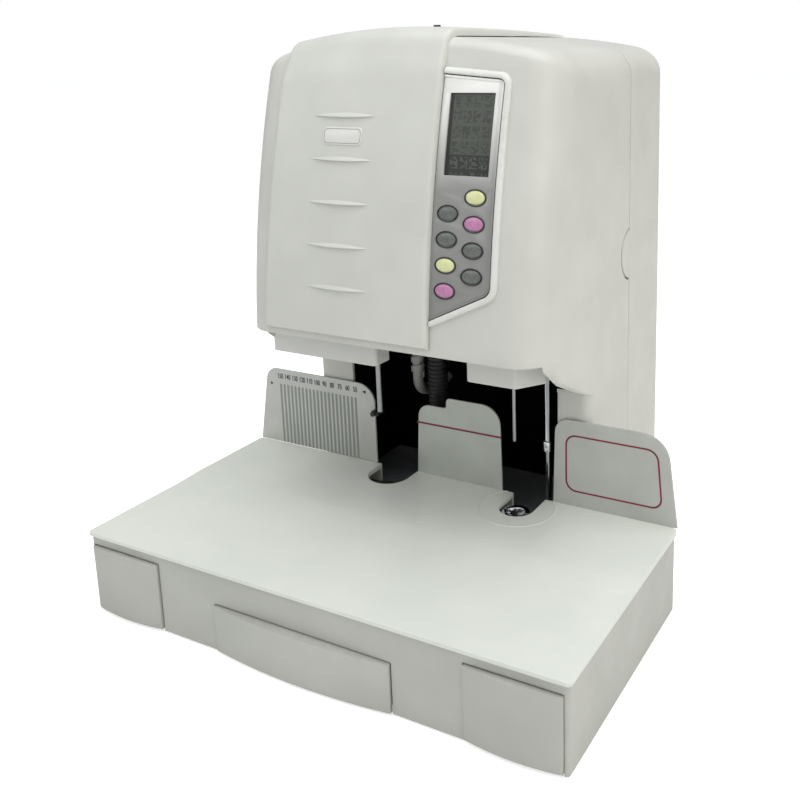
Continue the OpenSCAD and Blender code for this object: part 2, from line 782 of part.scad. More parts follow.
module rear_cover() {
    color("#d9dad5") difference() {
        union() {
            intersection() {
                tower_shell();
                rear_zone(gap);
            }
            block([inlet_x - 26, rear_y - 9, inlet_z - 38], [inlet_x + 26, rear_y - 1, inlet_z + 38]);
            for (s = [-1, 1], z = screw_heights())
                translate([s * screw_x, rear_y - 1, z]) rotate([90, 0, 0])
                    cylinder(h = shell_wall + 5, d = 10);
            for (x = hinge_xs, s = [-1, 1]) {
                side = x + s * (knuckle_w / 2 + gap + 2);
                block([side - 2, hinge_y - 4.5, hinge_z - 5], [side + 2, rear_y - 1.5, hinge_z + 1]);
            }
        }
        block([inlet_x - 17, rear_y - 3, inlet_z - 34], [inlet_x + 17, rear_y + 1, inlet_z + 34]);
        block([inlet_x - 14, rear_y - 12, inlet_z - 30], [inlet_x + 14, rear_y + 1, inlet_z + 30]);
        for (s = [-1, 1], i = [0:9]) translate([s * 62, 0, head_z + 40 + i * 9])
            along_y(rear_y - 12, rear_y + 1) rounded(-34, 0, 34, 3.4, 1.6);
        for (s = [-1, 1], z = screw_heights()) translate([s * screw_x, rear_y + 1, z]) rotate([90, 0, 0]) {
            cylinder(h = 3, d = 8);
            cylinder(h = 12, d = 3.1);
        }
        for (x = hinge_xs) block([x - knuckle_w / 2 - gap, hinge_y - 12, hinge_z - 9],
            [x + knuckle_w / 2 + gap, hinge_y + knuckle_r + gap, hinge_z + 9]);
        across(-80, 30, hinge_y, hinge_z, pin_d + 2 * run_fit);
    }
}

module rear_screws() {
    color("#9a9c9e") for (s = [-1, 1], z = screw_heights()) translate([s * screw_x, rear_y - 2, z])
        difference() {
        union() {
            rotate([-90, 0, 0]) cylinder(h = 1.6, d = 6.6);
            translate([0, eps, 0]) rotate([90, 0, 0]) cylinder(h = 12, d = 3);
        }
        block([-2.2, 0.8, -0.4], [2.2, 2, 0.4]);
        block([-0.4, 0.8, -2.2], [0.4, 2, 2.2]);
    }
}

// ---- Guards ----

// Plan of a guard drawn in by `in`, its right front corner cut back by `back`
module guard_plan(x0, x1, back, in) {
    y0 = guard_front + guard_r;
    y1 = tower_front - 4 - guard_r;
    hull() for (p = [[x0 + guard_r, y0], [x1 - guard_r - 0.7 * back, y0], [x1 - guard_r, y0 + back],
        [x1 - guard_r, y1], [x0 + guard_r, y1]]) translate(p) circle(guard_r - in);
}

guard_r = 4;

// Hood round a station, open below and hung under the arm plate
module guard(x0, x1, back) {
    z0 = head_z - guard_drop;
    difference() {
        translate([0, 0, z0]) linear_extrude(arm_z - z0) guard_plan(x0, x1, back, 0);
        translate([0, 0, z0 - 1]) linear_extrude(arm_z - z0 - 1) guard_plan(x0, x1, back, 2);
        intersection() {
            translate([0, 0, z0]) linear_extrude(arm_z) guard_plan(x0, x1, back, 3);
            block([x0 + 14, guard_front + 12, z0], [x1, tower_front - 13, arm_z + 1]);
        }
    }
}

module drill_guard() {
    color("#d8d9d3") guard(-half_head + shell_wall + 0.6, -28, 0);
}

module rivet_guard() {
    color("#d8d9d3") guard(60, 121, 20);
}

// ---- Front cover ----

cover_foot_z = head_z + 5;
cover_lean = 6;
cover_back = rear_y - 16;

// Rows of the cover from foot to rear: Y and Z on the head, then the outward direction in
// Y and Z, and the shares of the full height over the head, of the crown, of the lean of
// the left edge, and of the face's slope where the crown lowers the row
function cover_rows(inset) = concat(
    [for (i = [0:14]) let (t = i / 14, z = cover_foot_z + inset + (crease_z - cover_foot_z - inset) * t)
        [face_y(z), z, -1, i == 14 ? 0.4 : 0, 1, t * t * t, t, 1]],
    [for (t = [0.25, 0.5, 0.75])
        [face_y(crease_z) + (edge_y - face_y(crease_z)) * t, crease_z + (head_top - crease_z) * t,
            -0.5, 0.75 + 0.15 * sin(180 * t), 1, 1, 1, 1 - t]],
    [for (i = [0:6]) let (t = i / 6, y = edge_y + (cover_back - inset - edge_y) * t)
        [y, head_top_z(0, y), 0, 1, 1 - 0.7 * t * t, 1, 1, 0]]);

// Height of a row over the head on the cover's outside, inside or foot
function cover_out(row) = cover_proud * row[4];
function cover_in(row) = max(cover_out(row) - cover_wall, 2 * gap + 0.3);

// Closed solid between two levels of the cover, drawn in at its ends by `inset`
module cover_solid(inset, inner) {
    rows = cover_rows(inset);
    n = len(rows);
    m = 8;
    side = (m + 1) * n;
    pts = [for (k = [0, 1], j = [0:m], row = rows)
        let (x0 = inset - cover_left + cover_lean * row[6], x = x0 + (cover_right - inset - x0) * j / m,
            d = k == 0 ? (inner ? -3 : 2 * gap) : (inner ? cover_in(row) : cover_out(row)),
            z = row[1] - row[5] * crown(x),
            y = row[0] + row[7] * (face_y(z) - face_y(row[1])))
        [x, y + row[2] * d, z + row[3] * d]];
    function at(k, j, i) = k * side + j * n + i;
    quads = concat(
        [for (j = [0:m - 1], i = [0:n - 2]) [at(1, j, i), at(1, j, i + 1), at(1, j + 1, i + 1),
            at(1, j + 1, i)]],
        [for (j = [0:m - 1], i = [0:n - 2]) [at(0, j, i), at(0, j + 1, i), at(0, j + 1, i + 1),
            at(0, j, i + 1)]],
        [for (j = [0:m - 1]) [at(0, j, 0), at(1, j, 0), at(1, j + 1, 0), at(0, j + 1, 0)]],
        [for (j = [0:m - 1]) [at(1, j, n - 1), at(0, j, n - 1), at(0, j + 1, n - 1), at(1, j + 1, n - 1)]],
        [for (i = [0:n - 2]) [at(0, 0, i), at(0, 0, i + 1), at(1, 0, i + 1), at(1, 0, i)]],
        [for (i = [0:n - 2]) [at(1, m, i), at(1, m, i + 1), at(0, m, i + 1), at(0, m, i)]]);
    polyhedron(pts, [for (q = quads, t = [1, 2]) [q[0], q[t], q[t + 1]]], convexity = 8);
}

// Raised lens-shaped rib on the cover's front
module cover_rib(z) {
    along_y(face_front - 20, tower_front) polygon(concat(
        [for (i = [0:12]) [cover_rib_x + (i / 12 - 0.5) * cover_rib_w, z + 1.7 * sin(15 * i)]],
        [for (i = [11:-1:1]) [cover_rib_x + (i / 12 - 0.5) * cover_rib_w, z - 1.7 * sin(15 * i)]]));
}

cover_rib_x = -37.5;
cover_rib_w = 59;

module front_cover() {
    color("#e4e5e1") {
        difference() {
            cover_solid(0, false);
            cover_solid(cover_wall, true);
            latch_place() cylinder(h = 9, d = 6);
        }
        intersection() {
            face_slab(cover_rib_x - 40, cover_rib_x + 40, cover_proud - 0.8, cover_proud + 1.6,
                cover_foot_z, crease_z);
            union() {
                for (i = [0:4]) cover_rib(head_z + 47 + i * 34.2);
                translate([cover_rib_x, 0, head_z + 168]) along_y(face_front - 20, tower_front)
                    rounded(-19, -7, 19, 7, 4);
            }
        }
        for (x = hinge_xs) knuckle(x);
    }
}

// Hinge arm from the cover's rear edge down into its slot
module knuckle(x) {
    x0 = x - knuckle_w / 2;
    difference() {
        union() {
            across(x0, x0 + knuckle_w, hinge_y, hinge_z, 2 * knuckle_r);
            along_x(x0, x0 + knuckle_w) polygon([
                [hinge_y, hinge_z - knuckle_r], [hinge_y, hinge_z + knuckle_r],
                [cover_back - 1, head_top_z(x, cover_back) + 1.3],
                    [cover_back - 3, head_top_z(x, cover_back) + 1],
                [cover_back - 3, hinge_z - 1], [hinge_y - 4, hinge_z - knuckle_r]
            ]);
        }
        across(x0 - 1, x0 + knuckle_w + 1, hinge_y, hinge_z, pin_d + 2 * run_fit);
    }
}

module cover_hinge_pin() {
    color("#b9bcbf") across(hinge_xs[0] - knuckle_w / 2 - 5, hinge_xs[1] + knuckle_w / 2 + 5, hinge_y,
        hinge_z, pin_d);
}

// Seat of the latch button in the cover's top
module latch_place() {
    translate([10, latch_y, head_top_z(10, latch_y) + cover_proud - 1]) children();
}

module cover_latch() {
    color("#1c1c1c") latch_place() cylinder(h = 2.4, d = 6);
}

// ---- Control panel ----

panel_left = cover_right + 1;
panel_right = cover_right + 51.5;
panel_top = head_z + 213;
panel_foot = head_z + 31;
panel_seat = -0.6;
rim_w = 6;
keys_foot = key_top_z - 4 * key_pitch + 2;
lcd_x = panel_left + 6.5;
lcd_z = key_top_z + 15.5;

// Outline of the panel, grown on all sides but the left
function panel_points(grow) = concat(
    [[panel_left, panel_foot - grow]],
    arc(panel_right - 8, keys_foot + 12, 8 + grow, -60, 0, 6),
    arc(panel_right - 3, panel_top - 3, 3 + grow, 0, 90, 6),
    [[panel_left, panel_top + grow]]);

module panel_prism(grow) {
    along_y(face_front - 20, tower_front) polygon(panel_points(grow));
}

// Seat for the rim and the panel, and the opening behind them
module panel_recess() {
    intersection() {
        face_slab(panel_left, panel_right + 20, panel_seat, 20, head_z, head_top);
        panel_prism(rim_w);
    }
    intersection() {
        block([panel_left + 2.5, front_y, panel_foot],
            [panel_right - 3.5, tower_front - 9, lcd_z + lcd_h + 3]);
        panel_prism(-2.5);
    }
}

function key_place(i) = i < 4
    ? [key_col_x + key_cols, key_top_z - i * key_pitch]
    : [key_col_x, key_top_z - 12.8 - (i - 4) * key_pitch];

module panel_rim() {
    color("#eceeea") intersection() {
        face_slab(panel_left, panel_right + 20, panel_seat, 3.6, head_z, head_top);
        difference() {
            panel_prism(rim_w);
            translate([-1, 0, 0]) panel_prism(0);
            panel_prism(0);
        }
    }
}

module panel_face() {
    color("#b9bbb8") difference() {
        intersection() {
            face_slab(panel_left, panel_right, panel_seat, 1.2, head_z, head_top);
            panel_prism(0);
        }
        for (i = [0:7]) at_face(key_place(i)[0], key_place(i)[1])
            along_y(-9, 9) oval(key_w + 2 * key_slack, key_h + 2 * key_slack);
        block([lcd_x, front_y, lcd_z], [lcd_x + lcd_w, tower_front, lcd_z + lcd_h]);
    }
}

key_slack = 0.25;

module lcd_window() {
    color("#cfd6cf") face_slab(lcd_x, lcd_x + lcd_w, -0.2, 0.8, lcd_z, lcd_z + lcd_h);
}

module lcd_module() {
    color("#4b524b") face_slab(lcd_x, lcd_x + lcd_w, -7.2, -0.2, lcd_z, lcd_z + lcd_h);
}

module key_board() {
    color("#2f6b3f") face_slab(lcd_x - 1, lcd_x + lcd_w + 1, -8.8, -7.2, keys_foot - 6, lcd_z + lcd_h);
}

module key(i) {
    tone = ["#d5dc8f", "#c06aa0", "#5f6563", "#5f6563", "#5f6563", "#5f6563", "#d5dc8f", "#c06aa0"];
    color(tone[i]) at_face(key_place(i)[0], key_place(i)[1]) {
        along_y(-2.8, -0.4) oval(key_w, key_h);
        along_y(-0.4 - eps, 5.8) oval(key_w - 8, key_h - 5);
    }
}

module key_1() { key(0); }
module key_2() { key(1); }
module key_3() { key(2); }
module key_4() { key(3); }
module key_5() { key(4); }
module key_6() { key(5); }
module key_7() { key(6); }
module key_8() { key(7); }

// ---- Drive ----

shaft_d = 5;
feed_r = 12;
small_r = 8;
spindle_r = 14;
pulley_h = 9;

module feed_motors() {
    color("#77797b") for (x = [drill_screw_x, rivet_screw_x]) difference() {
        union() {
            post(x, motor_y, top_plate_z - 52, top_plate_z, 34);
            post(x, motor_y, top_plate_z - 60, top_plate_z - 52, 26);
        }
        post(x, motor_y, top_plate_z - 14, top_plate_z + 1, shaft_d + 2 * run_fit);
    }
}

module feed_belts() {
    color("#252525") for (x = [drill_screw_x, rivet_screw_x])
        belt([x, column_y], feed_r, [x, motor_y], small_r, belt_z + 1.3, belt_z + pulley_h - 1.3);
}

module feed_screw(x) {
    color("#a9abae") {
        post(x, column_y, arm_z, belt_z + pulley_h, screw_d);
        translate([x, column_y, belt_z]) pulley(feed_r, pulley_h);
    }
}

module feed_pulley(x) {
    color("#b5b7ba") {
        post(x, motor_y, top_plate_z - 12, belt_z + pulley_h, shaft_d);
        translate([x, motor_y, belt_z]) pulley(small_r, pulley_h);
    }
}

module drill_screw() { feed_screw(drill_screw_x); }
module rivet_screw() { feed_screw(rivet_screw_x); }
module drill_feed_pulley() { feed_pulley(drill_screw_x); }
module rivet_feed_pulley() { feed_pulley(rivet_screw_x); }

drill_motor_x = -103;
boss_top = carriage_z + 66;
chuck_z = carriage_z - 78;

module drill_carriage() {
    color("#9fa3a6") difference() {
        union() {
            block([column_left - 8, column_y - 10, carriage_z],
                [drill_rod_x + 9, column_y + 12, carriage_z + carriage_h]);
            block([-drill_x - 19, tool_y, carriage_z], [-drill_x + 19, column_y, carriage_z + carriage_h]);
            post(-drill_x, tool_y, carriage_z, boss_top, 38);
            block([drill_motor_x - 21, tool_y - 20, carriage_z], [-drill_x, column_y, carriage_z + 8]);
        }
        plate_hole(-drill_x, tool_y, carriage_z, boss_top - carriage_z, spindle_d + 2 * run_fit);
        plate_hole(column_left, column_y, carriage_z, carriage_h, column_d + 2 * run_fit);
        plate_hole(drill_rod_x, column_y, carriage_z, carriage_h, rod_d + 2 * run_fit);
        plate_hole(drill_screw_x, column_y, carriage_z, carriage_h, screw_d + 2 * run_fit);
    }
}

module drill_motor() {
    color("#7b7e80") difference() {
        union() {
            post(drill_motor_x, tool_y, carriage_z + 8, boss_top - 4, 40);
            post(drill_motor_x, tool_y, boss_top - 4, boss_top - 1, 18);
        }
        post(drill_motor_x, tool_y, boss_top - 14, boss_top, shaft_d + 2 * run_fit);
    }
}

module drill_motor_pulley() {
    color("#b5b7ba") {
        post(drill_motor_x, tool_y, boss_top - 12, boss_top + 1 + pulley_h, shaft_d);
        translate([drill_motor_x, tool_y, boss_top + 1]) pulley(small_r, pulley_h);
    }
}

module drill_belt() {
    color("#252525") belt([-drill_x, tool_y], spindle_r, [drill_motor_x, tool_y], small_r,
        boss_top + 2.3, boss_top + pulley_h - 0.3);
}

// Hollow spindle with its pulley above the bearing boss and its chuck below
module drill_spindle() {
    color("#b4b7ba") difference() {
        union() {
            post(-drill_x, tool_y, carriage_z - 24, boss_top + 3 + pulley_h, spindle_d);
            translate([-drill_x, tool_y, boss_top + 1]) pulley(spindle_r, pulley_h);
            post(-drill_x, tool_y, chuck_z, carriage_z - gap - 4, 22);
            translate([-drill_x, tool_y, chuck_z - 6]) cylinder(h = 6, d1 = 14, d2 = 22);
        }
        post(-drill_x, tool_y, chuck_z - 7, chuck_z + 26, drill_od);
        post(-drill_x, tool_y, chuck_z, boss_top + 4 + pulley_h, drill_bore);
    }
}

module drill_bit() {
    color("#c4c6c8") difference() {
        post(-drill_x, tool_y, drill_tip_z, chuck_z + 26, drill_od);
        post(-drill_x, tool_y, drill_tip_z - 1, chuck_z + 27, drill_bore);
        translate([-drill_x, tool_y, drill_tip_z - eps])
            cylinder(h = 1.6, d1 = drill_od - 0.4, d2 = drill_bore - 0.2);
    }
}

module rivet_carriage() {
    color("#9fa3a6") difference() {
        union() {
            block([rivet_rod_x - 9, column_y - 10, carriage_z],
                [column_right + 8, column_y + 12, carriage_z + carriage_h]);
            block([rivet_x - 13, tool_y, carriage_z], [rivet_x + 13, column_y, carriage_z + carriage_h]);
            post(rivet_x, tool_y, carriage_z, carriage_z + carriage_h, 28);
        }
        plate_hole(rivet_x, tool_y, carriage_z, carriage_h, 12);
        plate_hole(column_right, column_y, carriage_z, carriage_h, column_d + 2 * run_fit);
        plate_hole(rivet_rod_x, column_y, carriage_z, carriage_h, rod_d + 2 * run_fit);
        plate_hole(rivet_screw_x, column_y, carriage_z, carriage_h, screw_d + 2 * run_fit);
    }
}

module punch_heater() {
    top = carriage_z + carriage_h;
    color("#b08d57") {
        difference() {
            post(rivet_x, tool_y, top, top + 28, 26);
            post(rivet_x, tool_y, top - 1, top + 20, 12);
        }
        post(rivet_x, tool_y, top + 28 - eps, top + 34, 8);
    }
}

module rivet_punch() {
    collar = head_z - guard_drop + 6;
    color("#c4c6c8") {
        post(rivet_x, tool_y, collar + 6, carriage_z + carriage_h + 20, 12);
        translate([rivet_x, tool_y, collar]) cylinder(h = 6 + eps, d1 = punch_d + 3, d2 = 12);
        post(rivet_x, tool_y, punch_tip_z + 1.5, collar + 1, punch_d);
        translate([rivet_x, tool_y, punch_tip_z]) cylinder(h = 1.5 + eps, d1 = punch_d - 1.2, d2 = punch_d);
    }
}

// ---- Power ----

rocker_y = rear_y - 6.5;
rocker_z = inlet_z + 18;
rocker_tilt = 8;

module power_inlet() {
    color("#1f1f20") difference() {
        union() {
            block([inlet_x - 16.5, rear_y - 3, inlet_z - 33.5],
                [inlet_x + 16.5, rear_y - 1, inlet_z + 33.5]);
            block([inlet_x - 13.6, rear_y - 30, inlet_z - 29.6],
                [inlet_x + 13.6, rear_y - 3 + eps, inlet_z + 29.6]);
        }
        along_y(rear_y - 20, rear_y + 1) polygon([
            [inlet_x - 12, inlet_z - 27], [inlet_x + 12, inlet_z - 27], [inlet_x + 12, inlet_z - 13],
            [inlet_x + 7, inlet_z - 8], [inlet_x - 7, inlet_z - 8], [inlet_x - 12, inlet_z - 13]
        ]);
        block([inlet_x - 11, rear_y - 14, rocker_z - 7.5], [inlet_x + 11, rear_y + 1, rocker_z + 7.5]);
        across(inlet_x - 12.8, inlet_x + 12.8, rocker_y, rocker_z, 2.4 + 2 * run_fit);
    }
    color("#c9b26a") for (p = [[-7, -20], [7, -20], [0, -14]])
        block([inlet_x + p[0] - 1, rear_y - 20 - eps, inlet_z + p[1] - 2.4],
            [inlet_x + p[0] + 1, rear_y - 6, inlet_z + p[1] + 2.4]);
}

module power_rocker() {
    tip = 6.2;
    rise = tip * tan(rocker_tilt);
    color("#2a2a2b") translate([0, rocker_y, rocker_z]) rotate([-rocker_tilt, 0, 0]) {
        along_x(inlet_x - 10.4, inlet_x + 10.4) polygon(concat(
            [[4.2, 0], [4.2 + rise, tip], [1.5, tip]], arc(0, 0, 4, 60, 300, 16),
                [[1.5, -tip], [4.2 + rise, -tip]]));
        across(inlet_x - 12.6, inlet_x + 12.6, 0, 0, 2.4);
    }
}

base_shell();
base_plate();
rubber_feet();
table_top();
scale_plate();
thickness_plate();
notice_plate();
stack_stop();
frame_bed();
frame_cheeks();
arm_plate();
top_plate();
guide_columns();
drill_pad();
anvil();
anvil_heater();
chip_hose();
wiring_harness();
throat_liner();
head_housing();
rear_cover();
rear_screws();
drill_guard();
rivet_guard();
panel_rim();
panel_face();
lcd_window();
lcd_module();
key_board();
feed_motors();
feed_belts();
cover_hinge_pin();
power_inlet();
power_rocker();
front_cover();
cover_latch();
scrap_drawer();
left_drawer();
right_drawer();
drill_carriage();
drill_motor();
drill_belt();
drill_spindle();
drill_bit();
drill_motor_pulley();
drill_screw();
drill_feed_pulley();
rivet_carriage();
punch_heater();
rivet_punch();
rivet_screw();
rivet_feed_pulley();
key_1();
key_2();
key_3();
key_4();
key_5();
key_6();
key_7();
key_8();
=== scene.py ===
"""Desk machine that drills a stack of paper and closes it with a hot tube rivet, dressed for rendering."""
import json
import math
import bmesh
import bpy
from mathutils import Matrix, Vector

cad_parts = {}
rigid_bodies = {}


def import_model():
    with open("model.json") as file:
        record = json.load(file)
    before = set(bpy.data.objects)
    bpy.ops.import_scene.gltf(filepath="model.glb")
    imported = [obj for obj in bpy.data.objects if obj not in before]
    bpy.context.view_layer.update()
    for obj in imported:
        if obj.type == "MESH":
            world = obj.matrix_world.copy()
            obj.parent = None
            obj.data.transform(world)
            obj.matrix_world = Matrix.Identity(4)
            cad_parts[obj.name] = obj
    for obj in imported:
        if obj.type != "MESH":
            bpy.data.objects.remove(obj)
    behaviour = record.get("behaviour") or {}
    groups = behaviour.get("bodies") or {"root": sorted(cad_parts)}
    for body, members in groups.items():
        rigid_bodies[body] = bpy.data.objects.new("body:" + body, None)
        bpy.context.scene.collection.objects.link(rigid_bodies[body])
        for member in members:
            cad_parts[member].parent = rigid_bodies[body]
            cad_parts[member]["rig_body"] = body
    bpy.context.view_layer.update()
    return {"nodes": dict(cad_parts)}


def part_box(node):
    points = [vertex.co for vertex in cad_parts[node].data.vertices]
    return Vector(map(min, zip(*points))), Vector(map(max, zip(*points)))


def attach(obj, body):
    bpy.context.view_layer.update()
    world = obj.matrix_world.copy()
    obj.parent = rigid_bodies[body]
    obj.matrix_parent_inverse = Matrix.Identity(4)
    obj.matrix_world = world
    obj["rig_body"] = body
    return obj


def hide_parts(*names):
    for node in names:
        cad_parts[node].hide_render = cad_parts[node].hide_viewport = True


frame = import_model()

# ---- View ----
# A long-focus product shot from the operator's front right, a little above the table.
# The lens axis lies above and to the right of the picture's middle, so the sensor is shifted.


def mm(*values):
    """Millimetres to metres, one value or several."""
    return values[0] / 1000 if len(values) == 1 else Vector([v / 1000 for v in values])


def linked(name, data):
    """An object for this data, placed in the scene."""
    made = bpy.data.objects.new(name, data)
    bpy.context.scene.collection.objects.link(made)
    return made


def place_camera():
    """Camera from the view solved on the picture, 800 pixels each way: angles in degrees,
    focal length and lens axis in pixels, place in millimetres."""
    picture, focus, axis_x, axis_y = 800, 974.301, 474.161, 264.01
    turn, tilt, roll = math.radians(29.195), math.radians(12.795), math.radians(1.401)
    back = Vector((math.sin(turn) * math.cos(tilt), -math.cos(turn) * math.cos(tilt), math.sin(tilt)))
    level = (-back).cross(Vector((0, 0, 1))).normalized()
    up = level.cross(-back)
    right = math.cos(roll) * level - math.sin(roll) * up
    top = math.sin(roll) * level + math.cos(roll) * up
    data = bpy.data.cameras.new("product_camera")
    data.sensor_width = 36
    data.lens = focus / picture * data.sensor_width
    data.shift_x = (picture / 2 - axis_x) / picture
    data.shift_y = (axis_y - picture / 2) / picture
    data.clip_start, data.clip_end = 0.02, 40
    camera = linked("product_camera", data)
    camera.matrix_world = Matrix.Translation(mm(434.126, -690.902, 465.171)) @ Matrix(
        (right, top, back)).transposed().to_4x4()
    bpy.context.scene.camera = camera


place_camera()

# ---- Studio ----
# Seamless white paper floor, a large softbox overhead, and two weaker ones from the front
# left and the right, the right one slightly warm. The floor keeps the machine's shadow.


def linear(code):
    """sRGB hex to the renderer's linear colour."""
    parts = [int(code[i:i + 2], 16) / 255 for i in (1, 3, 5)]
    return tuple(p / 12.92 if p <= 0.04045 else ((p + 0.055) / 1.055) ** 2.4 for p in parts) + (1.0,)


def add(tree, kind, settings=None, links=None):
    """One shader node with its settings and its input links."""
    made = tree.nodes.new(kind)
    for key, value in (settings or {}).items():
        if isinstance(key, str) and hasattr(made, key) and key not in made.inputs:
            setattr(made, key, value)
        else:
            made.inputs[key].default_value = value
    for key, source in (links or {}).items():
        tree.links.new(source, made.inputs[key])
    return made


def blank(name):
    material = bpy.data.materials.new(name)
    material.use_nodes = True
    material.node_tree.nodes.clear()
    return material, material.node_tree


def finish_surface(tree, shader):
    add(tree, "ShaderNodeOutputMaterial", links={"Surface": shader.outputs[0]})


def studio_floor():
    """White paper that shows a little brighter to the camera than it lights the machine."""
    material, tree = blank("white_paper_sweep")
    paper = add(tree, "ShaderNodeBsdfDiffuse", {"Color": linear("#fbfbfa")})
    glow = add(tree, "ShaderNodeEmission", {"Color": linear("#ffffff"), "Strength": 0.62})
    both = add(tree, "ShaderNodeAddShader", links={0: paper.outputs[0], 1: glow.outputs[0]})
    path = add(tree, "ShaderNodeLightPath")
    shown = add(tree, "ShaderNodeMixShader",
                links={0: path.outputs["Is Camera Ray"], 1: paper.outputs[0], 2: both.outputs[0]})
    finish_surface(tree, shown)
    bpy.ops.mesh.primitive_grid_add(x_subdivisions=4, y_subdivisions=4, size=30)
    floor = bpy.context.object
    floor.name = "studio_floor"
    floor.data.materials.append(material)


def studio_world():
    """Pale room light. The camera and the clear window see plain white."""
    world = bpy.data.worlds.new("studio_world")
    bpy.context.scene.world = world
    world.use_nodes = True
    tree = world.node_tree
    tree.nodes.clear()
    soft = add(tree, "ShaderNodeBackground", {"Color": linear("#f6f7f8"), "Strength": 0.42})
    white = add(tree, "ShaderNodeBackground", {"Color": linear("#ffffff"), "Strength": 1.0})
    path = add(tree, "ShaderNodeLightPath")
    seen = add(tree, "ShaderNodeMath", {"operation": "MAXIMUM"},
               {0: path.outputs["Is Camera Ray"], 1: path.outputs["Is Transmission Ray"]})
    mixed = add(tree, "ShaderNodeMixShader",
                links={0: seen.outputs[0], 1: soft.outputs[0], 2: white.outputs[0]})
    add(tree, "ShaderNodeOutputWorld", links={"Surface": mixed.outputs[0]})


def softbox(name, place, aim, size, watts, colour=(1, 1, 1)):
    data = bpy.data.lights.new(name, "AREA")
    data.shape = "RECTANGLE"
    data.size, data.size_y = size
    data.energy, data.color = watts, colour
    lamp = linked(name, data)
    lamp.location = place
    lamp.rotation_euler = (Vector(aim) - Vector(place)).to_track_quat("-Z", "Y").to_euler()


studio_floor()
studio_world()
softbox("overhead_softbox", (0.2, -0.15, 1.9), (0, 0, 0.2), (2.2, 2.0), 29)
softbox("front_left_softbox", (-1.4, -1.9, 1.7), (0, 0, 0.3), (1.3, 1.3), 9)
softbox("right_softbox", (2.0, -0.6, 1.0), (0, 0, 0.25), (1.2, 1.4), 12, (1.0, 0.93, 0.86))
bpy.context.scene.view_settings.view_transform = "Standard"

# ---- Base and drawers ----
# Injection-moulded ABS box with a bowed front, satin, with a very fine spark texture. The
# drawers are the same plastic, gripped from below behind a lip. Four rubber feet are pressed in.


def grain_map(tree, size_mm, detail=2.0, stretch=(1, 1, 1)):
    """Noise whose cells measure size_mm on the real piece."""
    place = add(tree, "ShaderNodeTexCoord")
    scaled = add(tree, "ShaderNodeMapping", {"Scale": tuple(1000 / size_mm * s for s in stretch)},
                 {"Vector": place.outputs["Object"]})
    noise = add(tree, "ShaderNodeTexNoise", {"Scale": 1.0, "Detail": detail}, {"Vector": scaled.outputs[0]})
    return noise.outputs["Fac"]


def clouded(tree, size_mm, detail, shade, tone, start=0.35, end=0.65):
    """Colour that drifts from one sRGB tone to another in clouds of size_mm."""
    drift = add(tree, "ShaderNodeValToRGB", links={"Fac": grain_map(tree, size_mm, detail)})
    for stop, at, code in zip(drift.color_ramp.elements, (start, end), (shade, tone)):
        stop.position, stop.color = at, linear(code)
    return drift.outputs[0]


def spread(low, high):
    """Settings that stretch a noise's usual span, 0.3 to 0.7, to the range from low to high."""
    return {"From Min": 0.3, "From Max": 0.7, "To Min": low, "To Max": high}


def moulded_abs(name, tone, shade, roughness=0.42, grain_mm=0.9, depth_mm=0.02):
    """Moulded ABS: even colour with a faint flow mottle, and the mould's spark texture as
    a fine bump. The texture is drawn at about twice its real size so that it shows."""
    material, tree = blank(name)
    spark = add(tree, "ShaderNodeBump", {"Strength": 0.22, "Distance": mm(depth_mm)},
                {"Height": grain_map(tree, grain_mm, 3.0)})
    wear = add(tree, "ShaderNodeMapRange", spread(roughness - 0.05, roughness + 0.06),
               {"Value": grain_map(tree, 16, 4.0)})
    skin = add(tree, "ShaderNodeBsdfPrincipled", {"IOR": 1.53},
               {"Base Color": clouded(tree, 55, 2.0, shade, tone), "Normal": spark.outputs[0],
                "Roughness": wear.outputs[0]})
    finish_surface(tree, skin)
    return material


def black_rubber(name):
    """Moulded rubber: nearly black, with a dull bloom."""
    material, tree = blank(name)
    skin = add(tree, "ShaderNodeBump", {"Strength": 0.3, "Distance": mm(0.04)},
               {"Height": grain_map(tree, 0.5)})
    rubber = add(tree, "ShaderNodeBsdfPrincipled", {"Roughness": 0.82, "IOR": 1.52},
                 {"Base Color": clouded(tree, 3, 4.0, "#161616", "#232322"), "Normal": skin.outputs[0]})
    finish_surface(tree, rubber)
    return material


def reshape(piece, step):
    """Opens a piece's mesh for one step of work and closes it again."""
    shape = bmesh.new()
    shape.from_mesh(piece.data)
    step(shape)
    shape.to_mesh(piece.data)
    shape.free()
    return piece


level_area = 9e-4


def smooth(piece, angle=32):
    """Smooth shading that keeps real edges, and leaves faces over level_area square metres flat."""
    def shade(shape):
        for face in shape.faces:
            face.smooth = face.calc_area() < level_area
        for edge in shape.edges:
            edge.smooth = len(edge.link_faces) == 2 and edge.calc_face_angle(0) < math.radians(angle)
    reshape(piece, shade)


def apply_modifiers(piece):
    view = bpy.context.evaluated_depsgraph_get()
    shaped = bpy.data.meshes.new_from_object(piece.evaluated_get(view))
    piece.modifiers.clear()
    piece.data = shaped


def rounded_edges(piece, radius_mm, segments=2, angle=35):
    edge = piece.modifiers.new("edge", "BEVEL")
    edge.width, edge.segments = mm(radius_mm), segments
    edge.limit_method, edge.angle_limit = "ANGLE", math.radians(angle)
    apply_modifiers(piece)


def dress(piece, material, node):
    """A piece's finish, and the body of a CAD node that it rides on."""
    body = frame["nodes"][node]["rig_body"]
    piece.data.materials.clear()
    piece.data.materials.append(material)
    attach(piece, body)


def whole_faces(shape):
    """One face for each plane of the CAD mesh, in place of its triangles."""
    bmesh.ops.remove_doubles(shape, verts=shape.verts, dist=1e-6)
    bmesh.ops.dissolve_limit(shape, angle_limit=math.radians(0.6), verts=shape.verts, edges=shape.edges)


